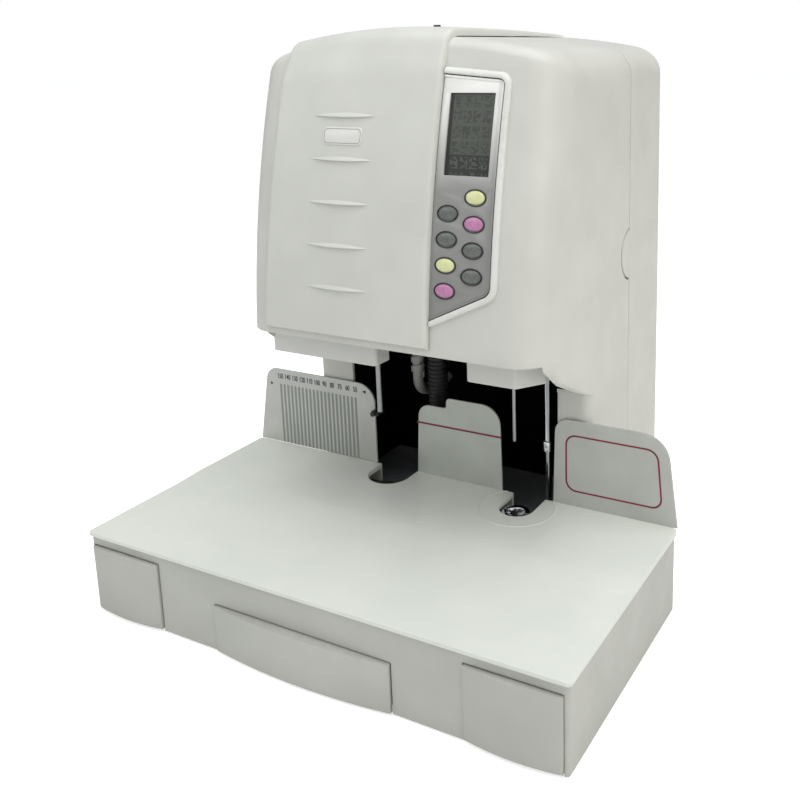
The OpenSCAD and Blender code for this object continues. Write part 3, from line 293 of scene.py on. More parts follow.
def softened(node, material, radius_mm=0.5, segments=2):
    """A copy of a CAD node with its moulded or deburred edges rounded. It stands for the node."""
    piece = linked(node + "_finished", frame["nodes"][node].data.copy())
    reshape(piece, whole_faces)
    if radius_mm:
        rounded_edges(piece, radius_mm, segments, 30)
    smooth(piece)
    dress(piece, material, node)
    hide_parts(node)
    return piece


# Two greys a shade darker than the head. The side drawers take the base's plastic in a darker copy, which
# paints the shade that falls on them.
base_abs = moulded_abs("base_abs", "#b7b9b3", "#b1b3ad")
shaded_drawer_abs = moulded_abs("shaded_drawer_abs", "#b5b6b0", "#afb0aa")
softened("base_shell", base_abs, 0.6)
softened("scrap_drawer", base_abs, 0.7)
softened("left_drawer", shaded_drawer_abs, 0.7)
softened("right_drawer", shaded_drawer_abs, 0.7)
softened("rubber_feet", black_rubber("black_rubber"), 0.4)

# ---- Paper table ----
# One wide ABS moulding with a thin edge, a ramp across it and two slots at the rear. It is
# polished by the paper, so it is paler and glossier than the base.

table_abs = moulded_abs("table_abs", "#dde1da", "#d8ddd6", roughness=0.36)
softened("table_top", table_abs, 0.7, 3)

# ---- Steel frame ----
# Bed, side cheeks and two cross plates cut from 4 to 8 mm steel and enamelled dark grey, on
# a bright zinc-plated bottom plate. Tabs on the cheeks take the rear cover.


def metal(name, tone, shade, roughness, grain_mm, stretch=(1, 1, 1), depth_mm=0.01):
    """Bare or plated metal: tone drifts between two shades, and the tool marks run along the
    axis with the smallest stretch, both as gloss and as a fine bump."""
    material, tree = blank(name)
    marks = grain_map(tree, grain_mm, 4.0, stretch)
    gloss = add(tree, "ShaderNodeMapRange", spread(roughness * 0.8, roughness * 1.25), {"Value": marks})
    scratch = add(tree, "ShaderNodeBump", {"Strength": 0.25, "Distance": mm(depth_mm)}, {"Height": marks})
    surface = add(tree, "ShaderNodeBsdfPrincipled", {"Metallic": 1.0},
                  {"Base Color": clouded(tree, 28, 3.0, shade, tone), "Roughness": gloss.outputs[0],
                   "Normal": scratch.outputs[0]})
    finish_surface(tree, surface)
    return material


def enamelled_steel(name, tone, shade, roughness=0.45, peel_mm=1.6):
    """Stoved enamel on sheet steel: even colour, a slight orange peel and rubbed, lighter edges."""
    material, tree = blank(name)
    edge = add(tree, "ShaderNodeNewGeometry")
    worn = add(tree, "ShaderNodeMapRange", {"From Min": 0.53, "From Max": 0.6},
               {"Value": edge.outputs["Pointiness"]})
    rubbed = add(tree, "ShaderNodeMix", {"data_type": "RGBA", 7: linear("#a9aaa8")},
                 {0: worn.outputs[0], 6: clouded(tree, 40, 3.0, shade, tone)})
    skin = add(tree, "ShaderNodeBump", {"Strength": 0.2, "Distance": mm(0.05)},
               {"Height": grain_map(tree, peel_mm)})
    paint = add(tree, "ShaderNodeBsdfPrincipled", {"Roughness": roughness, "IOR": 1.5},
                {"Base Color": rubbed.outputs[2], "Normal": skin.outputs[0]})
    finish_surface(tree, paint)
    return material


# Zinc gives broad, bright spangles; the enamel a quiet dark grey behind the open cover.
zinc_plate = metal("zinc_plated_steel", "#b9bdc0", "#a3a7aa", 0.36, 5, depth_mm=0.02)
frame_enamel = enamelled_steel("grey_stoved_enamel", "#6b6f73", "#62666a")
softened("base_plate", zinc_plate, 0.3)
for node in ("frame_bed", "frame_cheeks", "arm_plate", "top_plate"):
    softened(node, frame_enamel, 0.5)

# ---- Guides, pad and anvil ----
# Hard-chromed ground columns, a black board under the drill, and a polished steel anvil
# whose brass heater ring is clamped round its foot.

# Chrome and polished steel mirror the room in narrow streaks; turned brass adds fine rings.
hard_chrome = metal("ground_hard_chrome", "#dfe2e4", "#d2d5d8", 0.14, 1.2, (1, 1, 0.02), 0.004)
polished_steel = metal("polished_tool_steel", "#cfd3d6", "#b9bdc1", 0.16, 1.0, (1, 1, 0.05), 0.006)
brass = metal("turned_brass", "#c9a866", "#b79452", 0.3, 0.8, (0.1, 0.1, 1))


def moulded_black(name, tone="#1d1d1e", roughness=0.5, bloom="#262627", gleam=0.5):
    """Black engineering plastic: dark grey-black with a fine mould texture and dull spots."""
    material, tree = blank(name)
    texture = add(tree, "ShaderNodeBump", {"Strength": 0.25, "Distance": mm(0.03)},
                  {"Height": grain_map(tree, 0.6, 3.0)})
    gloss = add(tree, "ShaderNodeMapRange", spread(roughness - 0.08, roughness + 0.08),
                {"Value": grain_map(tree, 6, 4.0)})
    plastic = add(tree, "ShaderNodeBsdfPrincipled", {"IOR": 1.5, "Specular IOR Level": gleam},
                  {"Base Color": clouded(tree, 9, 4.0, tone, bloom), "Normal": texture.outputs[0],
                   "Roughness": gloss.outputs[0]})
    finish_surface(tree, plastic)
    return material


black_plastic = moulded_black("moulded_black_plastic")
softened("guide_columns", hard_chrome, 0.3)
softened("drill_pad", black_plastic, 0.5)
softened("anvil", polished_steel, 0.4)
softened("anvil_heater", brass, 0.4)

# ---- Hose, wiring and throat ----
# Ribbed PVC hose for the paper chips, a cable bundle in a pale spiral wrap, and the black
# liner that closes the throat behind them. Its near-black is partly its own colour and partly painted shade
# of the deep throat.

hose_pvc = moulded_black("ribbed_hose_pvc", "#262524", 0.42)
spiral_wrap = moulded_abs("polyethylene_spiral_wrap", "#a4a6a2", "#8e908c", 0.38, 3.0, 0.05)
# Painted shade: the liner is darker and duller than black plastic, so that it shows the throat's deep shade.
liner_black_and_shade = moulded_black("black_liner_and_painted_shade", "#040404", 0.8, "#090909", 0.08)
softened("chip_hose", hose_pvc, 0.2)
softened("wiring_harness", spiral_wrap, 0)
softened("throat_liner", liner_black_and_shade, 0.3)

# ---- Head and tower housing ----
# One large ABS moulding: a rolled front face, a crowned top with soft shoulders and a hollow
# tower below. It is cut for the throat, the works behind the front cover, and the panel.

plastic_wall = 3.0


def box_mm(node):
    """Lowest and highest corner of a CAD node, in millimetres."""
    return [corner * 1000 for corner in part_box(node)]


low, high = box_mm("table_top")
front_y, table_back = low.y, high.y
low, high = box_mm("head_housing")
half_head, tower_foot, seam_y, head_top = high.x, low.z, high.y, high.z
tower_front = table_back + 3
rear_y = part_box("rear_cover")[1].y * 1000
head_z = 227
face_r, face_z, face_front = 1000, head_z - 63, front_y + 120
crown_r, top_fall, fall_y = 608, 2, front_y + 190
lug_y, lug_z, lug_r = seam_y + 4, head_z + 52, 24


def face_y(z):
    """The rolled front face: part of a wide upright cylinder."""
    return face_front + face_r - math.sqrt(face_r ** 2 - (z - face_z) ** 2)


def crown(x):
    return x * x / (2 * crown_r)


def head_top_z(x, y):
    return head_top - crown(x) - top_fall * (y - fall_y) / (rear_y - fall_y)


def plan_ring(half, front, rear, front_r, rear_r):
    """Plan outline, anticlockwise from the front left, with each point's share of front and rear."""
    ring = []

    def edge(x0, y0, x1, y1, count, ends):
        ring.extend((x0 + (x1 - x0) * i / count, y0 + (y1 - y0) * i / count, *ends) for i in range(count))

    def corner(x, y, r, start, count, first, last):
        for i in range(count):
            turn, t = math.radians(start + 90 * i / count), i / count
            ease = t * t * (3 - 2 * t)
            ring.append((x + r * math.cos(turn), y + r * math.sin(turn),
                         first[0] + (last[0] - first[0]) * ease, first[1] + (last[1] - first[1]) * ease))

    edge(front_r - half, front, half - front_r, front, 44, (1, 0))
    corner(half - front_r, front + front_r, front_r, -90, 10, (1, 0), (0, 0))
    edge(half, front + front_r, half, rear - rear_r, 34, (0, 0))
    corner(half - rear_r, rear - rear_r, rear_r, 0, 6, (0, 0), (0, 1))
    edge(half - rear_r, rear, rear_r - half, rear, 30, (0, 1))
    corner(rear_r - half, rear - rear_r, rear_r, 90, 6, (0, 1), (0, 0))
    edge(-half, rear - rear_r, -half, front + front_r, 34, (0, 0))
    corner(front_r - half, front + front_r, front_r, 180, 10, (0, 0), (1, 0))
    return ring


tower_r, tower_rear_r, head_r, head_rear_r = 9, 10, 28, 14
side_round, rear_round = 20, 14
skirt_lift, lift_from, lift_over = 2.2, -60, 60
brow_r, brow_lean = 12, 0.3


def skirt_rise(x):
    """The head's lower edge rises slightly over its left end."""
    return skirt_lift * min(1, max(0, lift_from - x) / lift_over)


def brow_profile(u):
    """Set-back and drop of the front edge of the top: a round that starts along the rolled face."""
    turn = math.pi - brow_lean - (math.pi / 2 - brow_lean) * u
    return brow_r * (math.cos(brow_lean) + math.cos(turn)), brow_r * (math.sin(turn) - 1)


def shoulder(u, radius):
    return radius * (1 - math.cos(u * math.pi / 2)), -radius * (1 - math.sin(u * math.pi / 2))


def edge_drop(u, f, r):
    """Drop at step u of the top's edge, shared between brow, rear shoulder and side shoulders."""
    return f * brow_profile(u)[1] + r * shoulder(u, rear_round)[1] + (1 - f - r) * shoulder(u, side_round)[1]


brow_z = head_top + brow_profile(0)[1]
brow_y = face_y(brow_z)


def shell_rings():
    """Rings of the housing from the foot of the tower to the middle of its top."""
    rings = []
    first, neck = tower_foot + 3, head_z - 53
    for z in [tower_foot] + [first + (neck - first) * i / 18 for i in range(19)]:
        rings.append([(x, y, z) for x, y, f, r in
                      plan_ring(half_head, tower_front, rear_y, tower_r, tower_rear_r)])
    skirt_y = face_y(head_z)
    for below, front, corner_r in ((43, front_y + 201, 8), (33, front_y + 179, 10), (23, front_y + 157.5, 13),
                                   (17.5, front_y + 148, 16), (12, front_y + 139, 20),
                                   (6, skirt_y + 5.5, 24), (3, skirt_y + 2, 26)):
        rings.append([(x, y, head_z - below + skirt_rise(x)) for x, y, f, r in
                      plan_ring(half_head, front, rear_y, corner_r, tower_rear_r)])
    for level in range(31):
        t = level / 30
        ring, front = [], face_y(head_z + (brow_z - head_z) * t)
        for x, y, f, r in plan_ring(half_head, front, rear_y, head_r,
                                    tower_rear_r + (head_rear_r - tower_rear_r) * t):
            z = head_z + (head_top_z(x, y) + edge_drop(0, f, r) - head_z) * t
            ring.append((x, y + (face_y(z) - front) * f, z))
        rings.append(ring)
    for level in range(1, 17):
        u, ring = level / 16, []
        for x, y, f, r in plan_ring(half_head - shoulder(u, side_round)[0], brow_y + brow_profile(u)[0],
                                    rear_y - shoulder(u, rear_round)[0], head_r - 8 * u, head_rear_r - 4 * u):
            lean = (face_y(brow_z - crown(x)) - brow_y) * f * (1 - u)
            ring.append((x, y + lean, head_top_z(x, y) + edge_drop(u, f, r)))
        rings.append(ring)
    rim = rings[-1]
    middle = (rim[0][1] + rear_y - 18) / 2
    for share in (0.93, 0.82, 0.68, 0.52, 0.36, 0.2, 0.06):
        shrunk = [(x * share, middle + (y - middle) * share) for x, y, z in rim]
        rings.append([(x, y, head_top_z(x, y)) for x, y in shrunk])
    return rings


def solid_from(name, points, faces):
    """Mesh object from millimetre points."""
    mesh = bpy.data.meshes.new(name)
    mesh.from_pydata([[c / 1000 for c in p] for p in points], [], faces)
    mesh.validate()
    return linked(name, mesh)


def bands(rings, sides, closed=False):
    """Faces between rings of points that follow each other, with so many sides in each ring."""
    return [(k * sides + i, k * sides + (i + 1) % sides,
             (k + 1) % rings * sides + (i + 1) % sides, (k + 1) % rings * sides + i)
            for k in range(rings if closed else rings - 1) for i in range(sides)]


def facing_out(piece):
    return reshape(piece, lambda shape: bmesh.ops.recalc_face_normals(shape, faces=shape.faces))


def capped(name, points, count):
    """Closed solid between two outlines of count points each, the second after the first."""
    faces = [list(range(count)), list(range(2 * count - 1, count - 1, -1))]
    faces += [(i, i + count, (i + 1) % count + count, (i + 1) % count) for i in range(count)]
    return facing_out(solid_from(name, points, faces))


def housing_skin(name):
    rings = shell_rings()
    sides = len(rings[0])
    top_face = [(len(rings) - 1) * sides + i for i in range(sides)]
    skin = solid_from(name, [p for ring in rings for p in ring], bands(len(rings), sides) + [top_face])
    wall = skin.modifiers.new("wall", "SOLIDIFY")
    wall.thickness, wall.offset, wall.use_even_offset = mm(plastic_wall), -1, True
    apply_modifiers(skin)
    return skin


def prism(name, outline, axis, start, end):
    """Closed bar: a flat outline pushed along an axis. The outline holds the other two axes in order."""
    place = {"x": lambda a, b, c: (c, a, b), "y": lambda a, b, c: (a, c, b),
             "z": lambda a, b, c: (a, b, c)}[axis]
    return capped(name, [place(a, b, c) for c in (start, end) for a, b in outline], len(outline))


def block(low, high):
    return prism("tool", [(low[0], low[1]), (high[0], low[1]), (high[0], high[1]), (low[0], high[1])], "z",
                 low[2], high[2])


def disc(a, b, radius, count=48):
    return [(a + radius * math.cos(2 * math.pi * i / count), b + radius * math.sin(2 * math.pi * i / count))
            for i in range(count)]


def arc(a, b, r, start, end, count=8):
    return [(a + r * math.cos(math.radians(start + (end - start) * i / count)),
             b + r * math.sin(math.radians(start + (end - start) * i / count))) for i in range(count + 1)]


def rounded_outline(x0, z0, x1, z1, r, count=6):
    corners = ((x1 - r, z0 + r, -90), (x1 - r, z1 - r, 0), (x0 + r, z1 - r, 90), (x0 + r, z0 + r, 180))
    return [point for x, z, start in corners for point in arc(x, z, r, start, start + 90, count)]


def joined(name, pieces):
    """Several separate meshes as one piece."""
    shape = bmesh.new()
    for piece in pieces:
        shape.from_mesh(piece.data)
        bpy.data.objects.remove(piece)
    mesh = bpy.data.meshes.new(name)
    shape.to_mesh(mesh)
    shape.free()
    return linked(name, mesh)


def cut(piece, tools, operation="DIFFERENCE"):
    for tool in tools:
        step = piece.modifiers.new("cut", "BOOLEAN")
        step.operation, step.object, step.solver = operation, tool, "EXACT"
        apply_modifiers(piece)
        bpy.data.objects.remove(tool)
    return piece


def rear_zone(slack, groove):
    """All behind the seam, with the round lugs. The rear cover's is smaller by slack and groove."""
    zone = block((-half_head - 9, seam_y + slack, -9), (half_head + 9, rear_y + 9, head_top + 19))
    lugs = [prism("tool", disc(lug_y, lug_z, lug_r - groove), "x", s * (half_head - 12), s * (half_head + 12))
            for s in (-1, 1)]
    return cut(zone, lugs, "UNION")


panel_left, panel_right = 49, 99.5
panel_top, panel_foot, keys_foot = head_z + 213, head_z + 31, 275.6


def panel_outline(grow, count=6):
    """Front view of the control panel: a tall plate whose lower right corner is cut off."""
    return ([(panel_left, panel_foot - grow)]
            + arc(panel_right - 8, keys_foot + 12, 8 + grow, -60, 0, count)
            + arc(panel_right - 3, panel_top - 3, max(3 + grow, 0.4), 0, 90, count)
            + [(panel_left, panel_top + grow)])


# Warm pale grey, the machine's main colour, satin enough to show the roll of the face.
housing_abs = moulded_abs("housing_abs", "#cfd0ca", "#c9cac4", 0.4)
skin = housing_skin("housing_front")
rear_skin = linked("housing_rear", skin.data.copy())
throat_left, throat_right, foot_gap_top = -102, 112, 57
works_left, works_right, works_foot, works_back = -97, 41, head_z + 25, front_y + 205
rib_x, sole_x = half_head - 7, half_head - plastic_wall - 0.6
cut(skin, [
    rear_zone(0, 0),
    block((throat_left, tower_front - 4, -1), (throat_right, tower_front + 5, head_z - 20)),
    block((-rib_x, tower_front - 4, -1), (rib_x, tower_front + 5, foot_gap_top)),
    block((-sole_x, front_y, -1), (sole_x, tower_front - 1, head_z)),
    block((works_left, front_y, works_foot), (works_right, works_back, head_top + 9)),
    prism("tool", panel_outline(0.8), "y", front_y, tower_front - 9),
])
rounded_edges(skin, 0.6)
smooth(skin, 40)
dress(skin, housing_abs, "head_housing")
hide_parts("head_housing")

# ---- Rear cover ----
# The same moulding's rear half, screwed on from behind. It holds the vents, the pocket of
# the power inlet and the slots of the cover's hinge, and a round lug laps over each side.

inlet_x, inlet_z = 84, 56
hinge_xs, hinge_y, hinge_z = (-62, 2), rear_y - 9, head_top_z(30, rear_y - 9) - 2.4
screw_x, screw_zs = half_head - 26, (24, head_z - 30, head_top - 80)
screws = [(s * screw_x, z) for s in (-1, 1) for z in screw_zs]
vent_x, vent_half, vent_z, vent_h, vent_pitch = 62, 34, head_z + 40, 3.4, 9


def inlet_block(half_x, half_z, deep, out):
    return block((inlet_x - half_x, rear_y - deep, inlet_z - half_z),
                 (inlet_x + half_x, rear_y + out, inlet_z + half_z))


cut(rear_skin, [rear_zone(0.7, 1.9)], "INTERSECT")
cut(rear_skin, [inlet_block(26, 38, 9, -1)]
    + [prism("tool", disc(x, z, 5, 24), "y", rear_y - 9, rear_y - 1) for x, z in screws], "UNION")
vents = joined("tool", [
    prism("tool", rounded_outline(s * vent_x - vent_half, vent_z + vent_pitch * i, s * vent_x + vent_half,
                                  vent_z + vent_h + vent_pitch * i, 1.6, 4), "y", rear_y - 12, rear_y + 1)
    for s in (-1, 1) for i in range(10)])
seats = joined("tool", [prism("tool", disc(x, z, 4, 24), "y", rear_y - 2, rear_y + 1) for x, z in screws])
slots = joined("tool", [block((x - 5.4, hinge_y - 12, hinge_z - 9), (x + 5.4, hinge_y + 3.8, hinge_z + 9))
                        for x in hinge_xs])
cut(rear_skin, [vents, seats, slots, inlet_block(17, 34, 3, 1), inlet_block(14, 30, 12, 1)])
rounded_edges(rear_skin, 0.8)
smooth(rear_skin, 40)
dress(rear_skin, housing_abs, "rear_cover")
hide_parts("rear_cover")
# Bright zinc: small hard glints in the sunk screw heads.
zinc_screw = metal("zinc_plated_screw", "#b7babd", "#a4a7aa", 0.32, 0.8)
softened("rear_screws", zinc_screw, 0.2, 1)
softened("cover_hinge_pin", hard_chrome, 0.3)

# ---- Guards ----
# Two deep ABS hoods that hang round the drill and the rivet punch and keep fingers away. The
# drill's hood is open behind its right front corner, and a little wider at its left end.

# The palest grey, so that the hoods stand out from the shade under the head.
guard_abs = moulded_abs("guard_abs", "#dddeda", "#d7d8d3", 0.4)
hood_open, hood_end, hood_wider = ((-36, -20, 180), (-20, 60, 234)), -130, 2.6
drill_hood = softened("drill_guard", guard_abs, 1.4, 4)
cut(drill_hood, [block(*hood_open)])
for point in drill_hood.data.vertices:
    if point.co.x < mm(hood_end):
        point.co.x -= mm(hood_wider)
softened("rivet_guard", guard_abs, 1.4, 4)

# ---- Back plates ----
# Three 2 mm plates that the paper is squared against, blanked with round corners and
# lacquered silver grey. Ruler, mark and frame are screen printed on them.


def lacquered_plate(name, tone, shade):
    """Silver-grey lacquer on brushed sheet: the brushing shows through as fine level streaks."""
    material, tree = blank(name)
    streaks = grain_map(tree, 0.5, 3.0, (0.03, 1, 1))
    sheen = add(tree, "ShaderNodeMapRange", spread(0.34, 0.46), {"Value": streaks})
    brush = add(tree, "ShaderNodeBump", {"Strength": 0.2, "Distance": mm(0.02)}, {"Height": streaks})
    lacquer = add(tree, "ShaderNodeBsdfPrincipled", {"Metallic": 0.25},
                  {"Base Color": clouded(tree, 34, 2.0, shade, tone), "Roughness": sheen.outputs[0],
                   "Normal": brush.outputs[0]})
    finish_surface(tree, lacquer)
    return material


def printed_ink(name, tone, thin):
    """Screen-printed ink: solid colour that thins in fine specks, a little duller than the lacquer."""
    material, tree = blank(name)
    ink = add(tree, "ShaderNodeBsdfPrincipled", {"Roughness": 0.55, "IOR": 1.5},
              {"Base Color": clouded(tree, 0.7, 3.0, tone, thin, 0.4, 0.75)})
    finish_surface(tree, ink)
    return material


plate_y, table_z, print_t = table_back, 74, 0.12
low, high = box_mm("scale_plate")
scale_right, scale_top, left_r, right_r = high.x - 2.4, high.z, 13, 19
scale_outline = ([(low.x, table_z)] + arc(low.x + 24.8, scale_top - left_r, left_r, 170, 90)
                 + arc(scale_right - right_r, scale_top - right_r, right_r, 90, 0, 14)
                 + [(scale_right, table_z)])
scale_plate = prism("scale_plate_finished", scale_outline, "y", low.y, high.y)
rounded_edges(scale_plate, 0.35)
smooth(scale_plate)
dress(scale_plate, lacquered_plate("lacquered_scale_plate", "#c6c8c3", "#bec0bb"), "scale_plate")
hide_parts("scale_plate")
softened("thickness_plate", lacquered_plate("lacquered_middle_plate", "#c2c7c1", "#babfb9"), 0.35)
softened("notice_plate", lacquered_plate("lacquered_right_plate", "#c0c2bd", "#b8bab5"), 0.35)
softened("stack_stop", black_plastic, 0.5)


def printed(name, outlines, ink, node):
    """Flat shapes printed on the front of a back plate, each a thin closed film."""
    films = [prism("film", outline, "y", plate_y - print_t, plate_y + 0.02) for outline in outlines]
    dress(joined(name, films), ink, node)


def ribbon(path, width, closed=False):
    """Outline strips of a line along a path, one quad for each stretch, lapped at the corners."""
    strips, count, lap = [], len(path), 0.18
    for i in range(count if closed else count - 1):
        (ax, az), (bx, bz) = path[i], path[(i + 1) % count]
        length = math.hypot(bx - ax, bz - az)
        nx, nz = -(bz - az) / length * width / 2, (bx - ax) / length * width / 2
        ex, ez = (bx - ax) / length * width * lap, (bz - az) / length * width * lap
        strips.append([(ax + nx - ex, az + nz - ez), (ax - nx - ex, az - nz - ez),
                       (bx - nx + ex, bz - nz + ez), (bx + nx + ex, bz + nz + ez)])
    return strips


# Each ink with the paler tone that its thin specks let through.
grey_ink = printed_ink("printed_grey_ink", "#8a8f8a", "#a0a6a0")
red_ink = printed_ink("printed_red_ink", "#7c2237", "#913246")
black_ink = printed_ink("printed_black_ink", "#26282a", "#353739")
stripe_left, stripe_pitch, stripe_w = -191, 4.58, 2.4
stripe_foot, stripe_top, figure_z = table_z + 0.4, table_z + 62.5, table_z + 70.4
figure_h, figure_narrow, figure_bold = 7.2, 0.68, 0.1
stripe_xs = [stripe_left + stripe_pitch * i for i in range(21)]
printed("ruler_stripes",
        [rounded_outline(x, stripe_foot, x + stripe_w, stripe_top, 0.3, 1) for x in stripe_xs],
        grey_ink, "scale_plate")


def ruler_number(value, x):
    """A figure of the ruler, narrow and bold, as a film on the plate."""
    label = bpy.data.curves.new("number", "FONT")
    label.body = str(value)
    label.size, label.extrude = mm(figure_h), 0
    label.align_x, label.align_y, label.offset = "CENTER", "CENTER", mm(figure_bold)
    digits = linked("number", label)
    flat = bpy.data.meshes.new_from_object(digits.evaluated_get(bpy.context.evaluated_depsgraph_get()))
    bpy.data.objects.remove(digits)
    flat.transform(Matrix.Translation(mm(x, plate_y - print_t, figure_z))
                   @ Matrix.Rotation(math.radians(90), 4, "X") @ Matrix.Diagonal((figure_narrow, 1, 1, 1)))
    number = linked("number", flat)
    number.modifiers.new("film", "SOLIDIFY").thickness = mm(print_t)
    apply_modifiers(number)
    return number


ruler = joined("ruler_numbers", [ruler_number(150 - 10 * i, x + stripe_w / 2)
                                 for i, x in enumerate(stripe_xs[::2])])
dress(ruler, black_ink, "scale_plate")
printed("ruler_arrows", [[(-202.4, table_z + 60), (-199.2, table_z + 61.7), (-202.4, table_z + 63.4)],
                         [(-90.4, table_z + 69.8), (-86, table_z + 68), (-86, table_z + 71.6)]],
        black_ink, "scale_plate")

low, high = box_mm("thickness_plate")
mark_foot, mark_top = table_z + 49.1, table_z + 50.9
printed("thickness_mark", [[(low.x + 1.2, mark_foot), (high.x - 0.2, mark_foot),
                            (high.x - 0.2, mark_top), (low.x + 1.2, mark_top)]], red_ink, "thickness_plate")
notice_lean, lean_from, lean_z = -0.09, 160, 113
frame_path = [(x + (z - lean_z) * notice_lean * (x > lean_from), z)
              for x, z in rounded_outline(121, 88, 204, 138.5, 9)]
printed("notice_frame", ribbon(frame_path, 1.5, True), red_ink, "notice_plate")

# ---- Front cover ----
# Lift-up ABS cover, proud of the head, with soft edges, five finger ribs and a bare pad. Its
# rear edge carries two knuckles that turn on the pin in the rear cover's slots.

cover_proud, cover_wall, cover_foot_z = 7.0, 2.4, head_z + 5
cover_left, cover_right, cover_lean = -113, 48, 6
crease_z, cover_back = head_top - 25.5, rear_y - 16
edge_round, edge_wall, edge_out, edge_in = 3.6, 2.6, 1.0, 0.8
crease_y = face_y(crease_z)
edge_y = crease_y + 19.8


def cover_line():
    """Middle profile of the cover from foot to rear: place, outward direction, height share,
    share of the crown, of the left edge's lean and of the face's slope."""
    rows = []
    for i in range(61):
        t = i / 60
        z = cover_foot_z + (crease_z - cover_foot_z) * t
        rows.append((face_y(z), z, -1, 0.4 * max(0, t * 15 - 14), 1, t ** 3, t, 1))
    brow = [(crease_y + 9.2 * i / 6, crease_z + 18 * i / 6) for i in range(7)]
    (ay, az), (by, bz), (cy, cz) = brow[-1], (crease_y + 13, head_top), (edge_y, head_top)
    brow += [(ay * (1 - t) ** 2 + 2 * by * t * (1 - t) + cy * t * t,
              az * (1 - t) ** 2 + 2 * bz * t * (1 - t) + cz * t * t) for t in (i / 8 for i in range(1, 9))]
    for before, (y, z), after in zip(brow, brow[1:], brow[2:]):
        dy, dz = after[0] - before[0], after[1] - before[1]
        rows.append((y, z, -dz / math.hypot(dy, dz), dy / math.hypot(dy, dz), 1, 1, 1,
                     (head_top - z) / (head_top - crease_z)))
    for i in range(49):
        t = i / 48
        y = edge_y + (cover_back - edge_y) * t
        rows.append((y, head_top_z(0, y), 0, 1, 1 - 0.7 * t * t, 1, 1, 0))
    return rows


def eased(rows, passes):
    """The profile with its creases eased, ends kept."""
    for step in range(passes):
        rows = [rows[0]] + [tuple((a + 2 * b + c) / 4 for a, b, c in zip(rows[i - 1], rows[i], rows[i + 1]))
                            for i in range(1, len(rows) - 1)] + [rows[-1]]
    return rows


def rolled(distance):
    """Share of the full height at a distance from the cover's edge: a quarter round."""
    if distance >= edge_round:
        return 1.0
    return math.sqrt(1 - (1 - distance / edge_round) ** 2)


def cover_columns(width):
    near = [0, 0.35, 0.9, 1.7, 2.6, 3.6, 5.5]
    middle = [9 + (width - 18) * i / 22 for i in range(23)]
    return near + middle + [width - d for d in reversed(near)]


def cover_point(row, x, height):
    y0, z0, out_y, out_z, share, crown_share, lean, slope = row
    z = z0 - crown_share * crown(x)
    return x, y0 + slope * (face_y(z) - face_y(z0)) + out_y * height, z + out_z * height


def cover_skin():
    """The cover's shell: an outer and an inner net of points, closed along the rim."""
    rows = eased(cover_line(), 2)
    count = len(cover_columns(cover_right - cover_left))
    outer, inner = [], []
    reach = [0.0]
    for a, b in zip(rows, rows[1:]):
        reach.append(reach[-1] + math.hypot(b[0] - a[0], b[1] - a[1]))
    for row, from_foot in zip(rows, reach):
        from_rear = reach[-1] - from_foot
        left = cover_left + cover_lean * row[6]
        width = cover_right - left
        for step in cover_columns(width):
            edge = min(step, width - step)
            full = rolled(edge) * rolled(from_foot) * rolled(from_rear * 2)
            raised = edge_in + (cover_proud * row[4] - edge_in) * full
            outer.append(cover_point(row, left + step, max(raised, edge_out)))
            hollow = min(edge, from_foot, from_rear) > edge_wall
            inner.append(cover_point(row, left + step, max(raised - cover_wall, 0.9) if hollow else edge_in))
    n, last = len(rows), len(outer)
    faces = []
    for i in range(n - 1):
        for j in range(count - 1):
            a, b, c, d = i * count + j, i * count + j + 1, (i + 1) * count + j + 1, (i + 1) * count + j
            faces += [(a, b, c, d), (last + d, last + c, last + b, last + a)]
    rim = (list(range(count)) + [i * count + count - 1 for i in range(1, n)]
           + [(n - 1) * count + j for j in range(count - 2, -1, -1)]
           + [i * count for i in range(n - 2, 0, -1)])
    faces += [(b, a, last + a, last + b) for a, b in zip(rim, rim[1:] + rim[:1])]
    return solid_from("cover_skin", outer + inner, faces)


def tube(name, points, rings, sides):
    """Closed solid through rings of points, capped at both ends."""
    ends = [tuple(reversed(range(sides))), tuple((rings - 1) * sides + i for i in range(sides))]
    return facing_out(solid_from(name, points, bands(rings, sides) + ends))


def lens_rib(middle_x, middle_z, width, high, proud):
    """Finger rib: swells from nothing at both ends, slopes gently above and drops off sharply below."""
    profile = [(1.0, -0.4), (1.0, 0.0), (0.62, 0.34), (0.2, 0.74), (-0.16, 1.0), (-0.34, 1.0),
               (-0.52, 0.7), (-0.7, -0.4)]
    steps, points = 28, []
    for i in range(steps + 1):
        t = i / steps
        swell = math.sin(math.pi * t) ** 0.7
        for up, out in profile:
            z = middle_z + up * high * swell + 0.001 * i
            x = middle_x + (t - 0.5) * width
            points.append((x, face_y(z) - cover_proud - out * proud * swell + 0.05, z))
    return tube("rib", points, steps + 1, len(profile))


def face_film(outline, out_low, out_high, name="film"):
    """Closed plate that lies on the rolled front face, between two heights over it."""
    points = [(x, face_y(z) - out, z) for out in (out_high, out_low) for x, z in outline]
    return capped(name, points, len(outline))


eye_r, eye_bore, eye_half = 3.4, 1.55, 5


def knuckle(x):
    """Hinge arm that drops from the cover's rear edge into its slot, bored for the pin."""
    top = head_top_z(x, cover_back)
    arm = prism("arm", [(hinge_y, hinge_z - eye_r), (hinge_y, hinge_z + eye_r), (cover_back - 1, top + 1.3),
                        (cover_back - 3, top + 1), (cover_back - 3, hinge_z - 1),
                        (hinge_y - 4, hinge_z - eye_r)], "x", x - eye_half, x + eye_half)
    cut(arm, [prism("eye", disc(hinge_y, hinge_z, eye_r, 32), "x", x - eye_half, x + eye_half)], "UNION")
    cut(arm, [prism("bore", disc(hinge_y, hinge_z, eye_bore, 24), "x", x - eye_half - 1, x + eye_half + 1)])
    rounded_edges(arm, 0.4)
    return arm


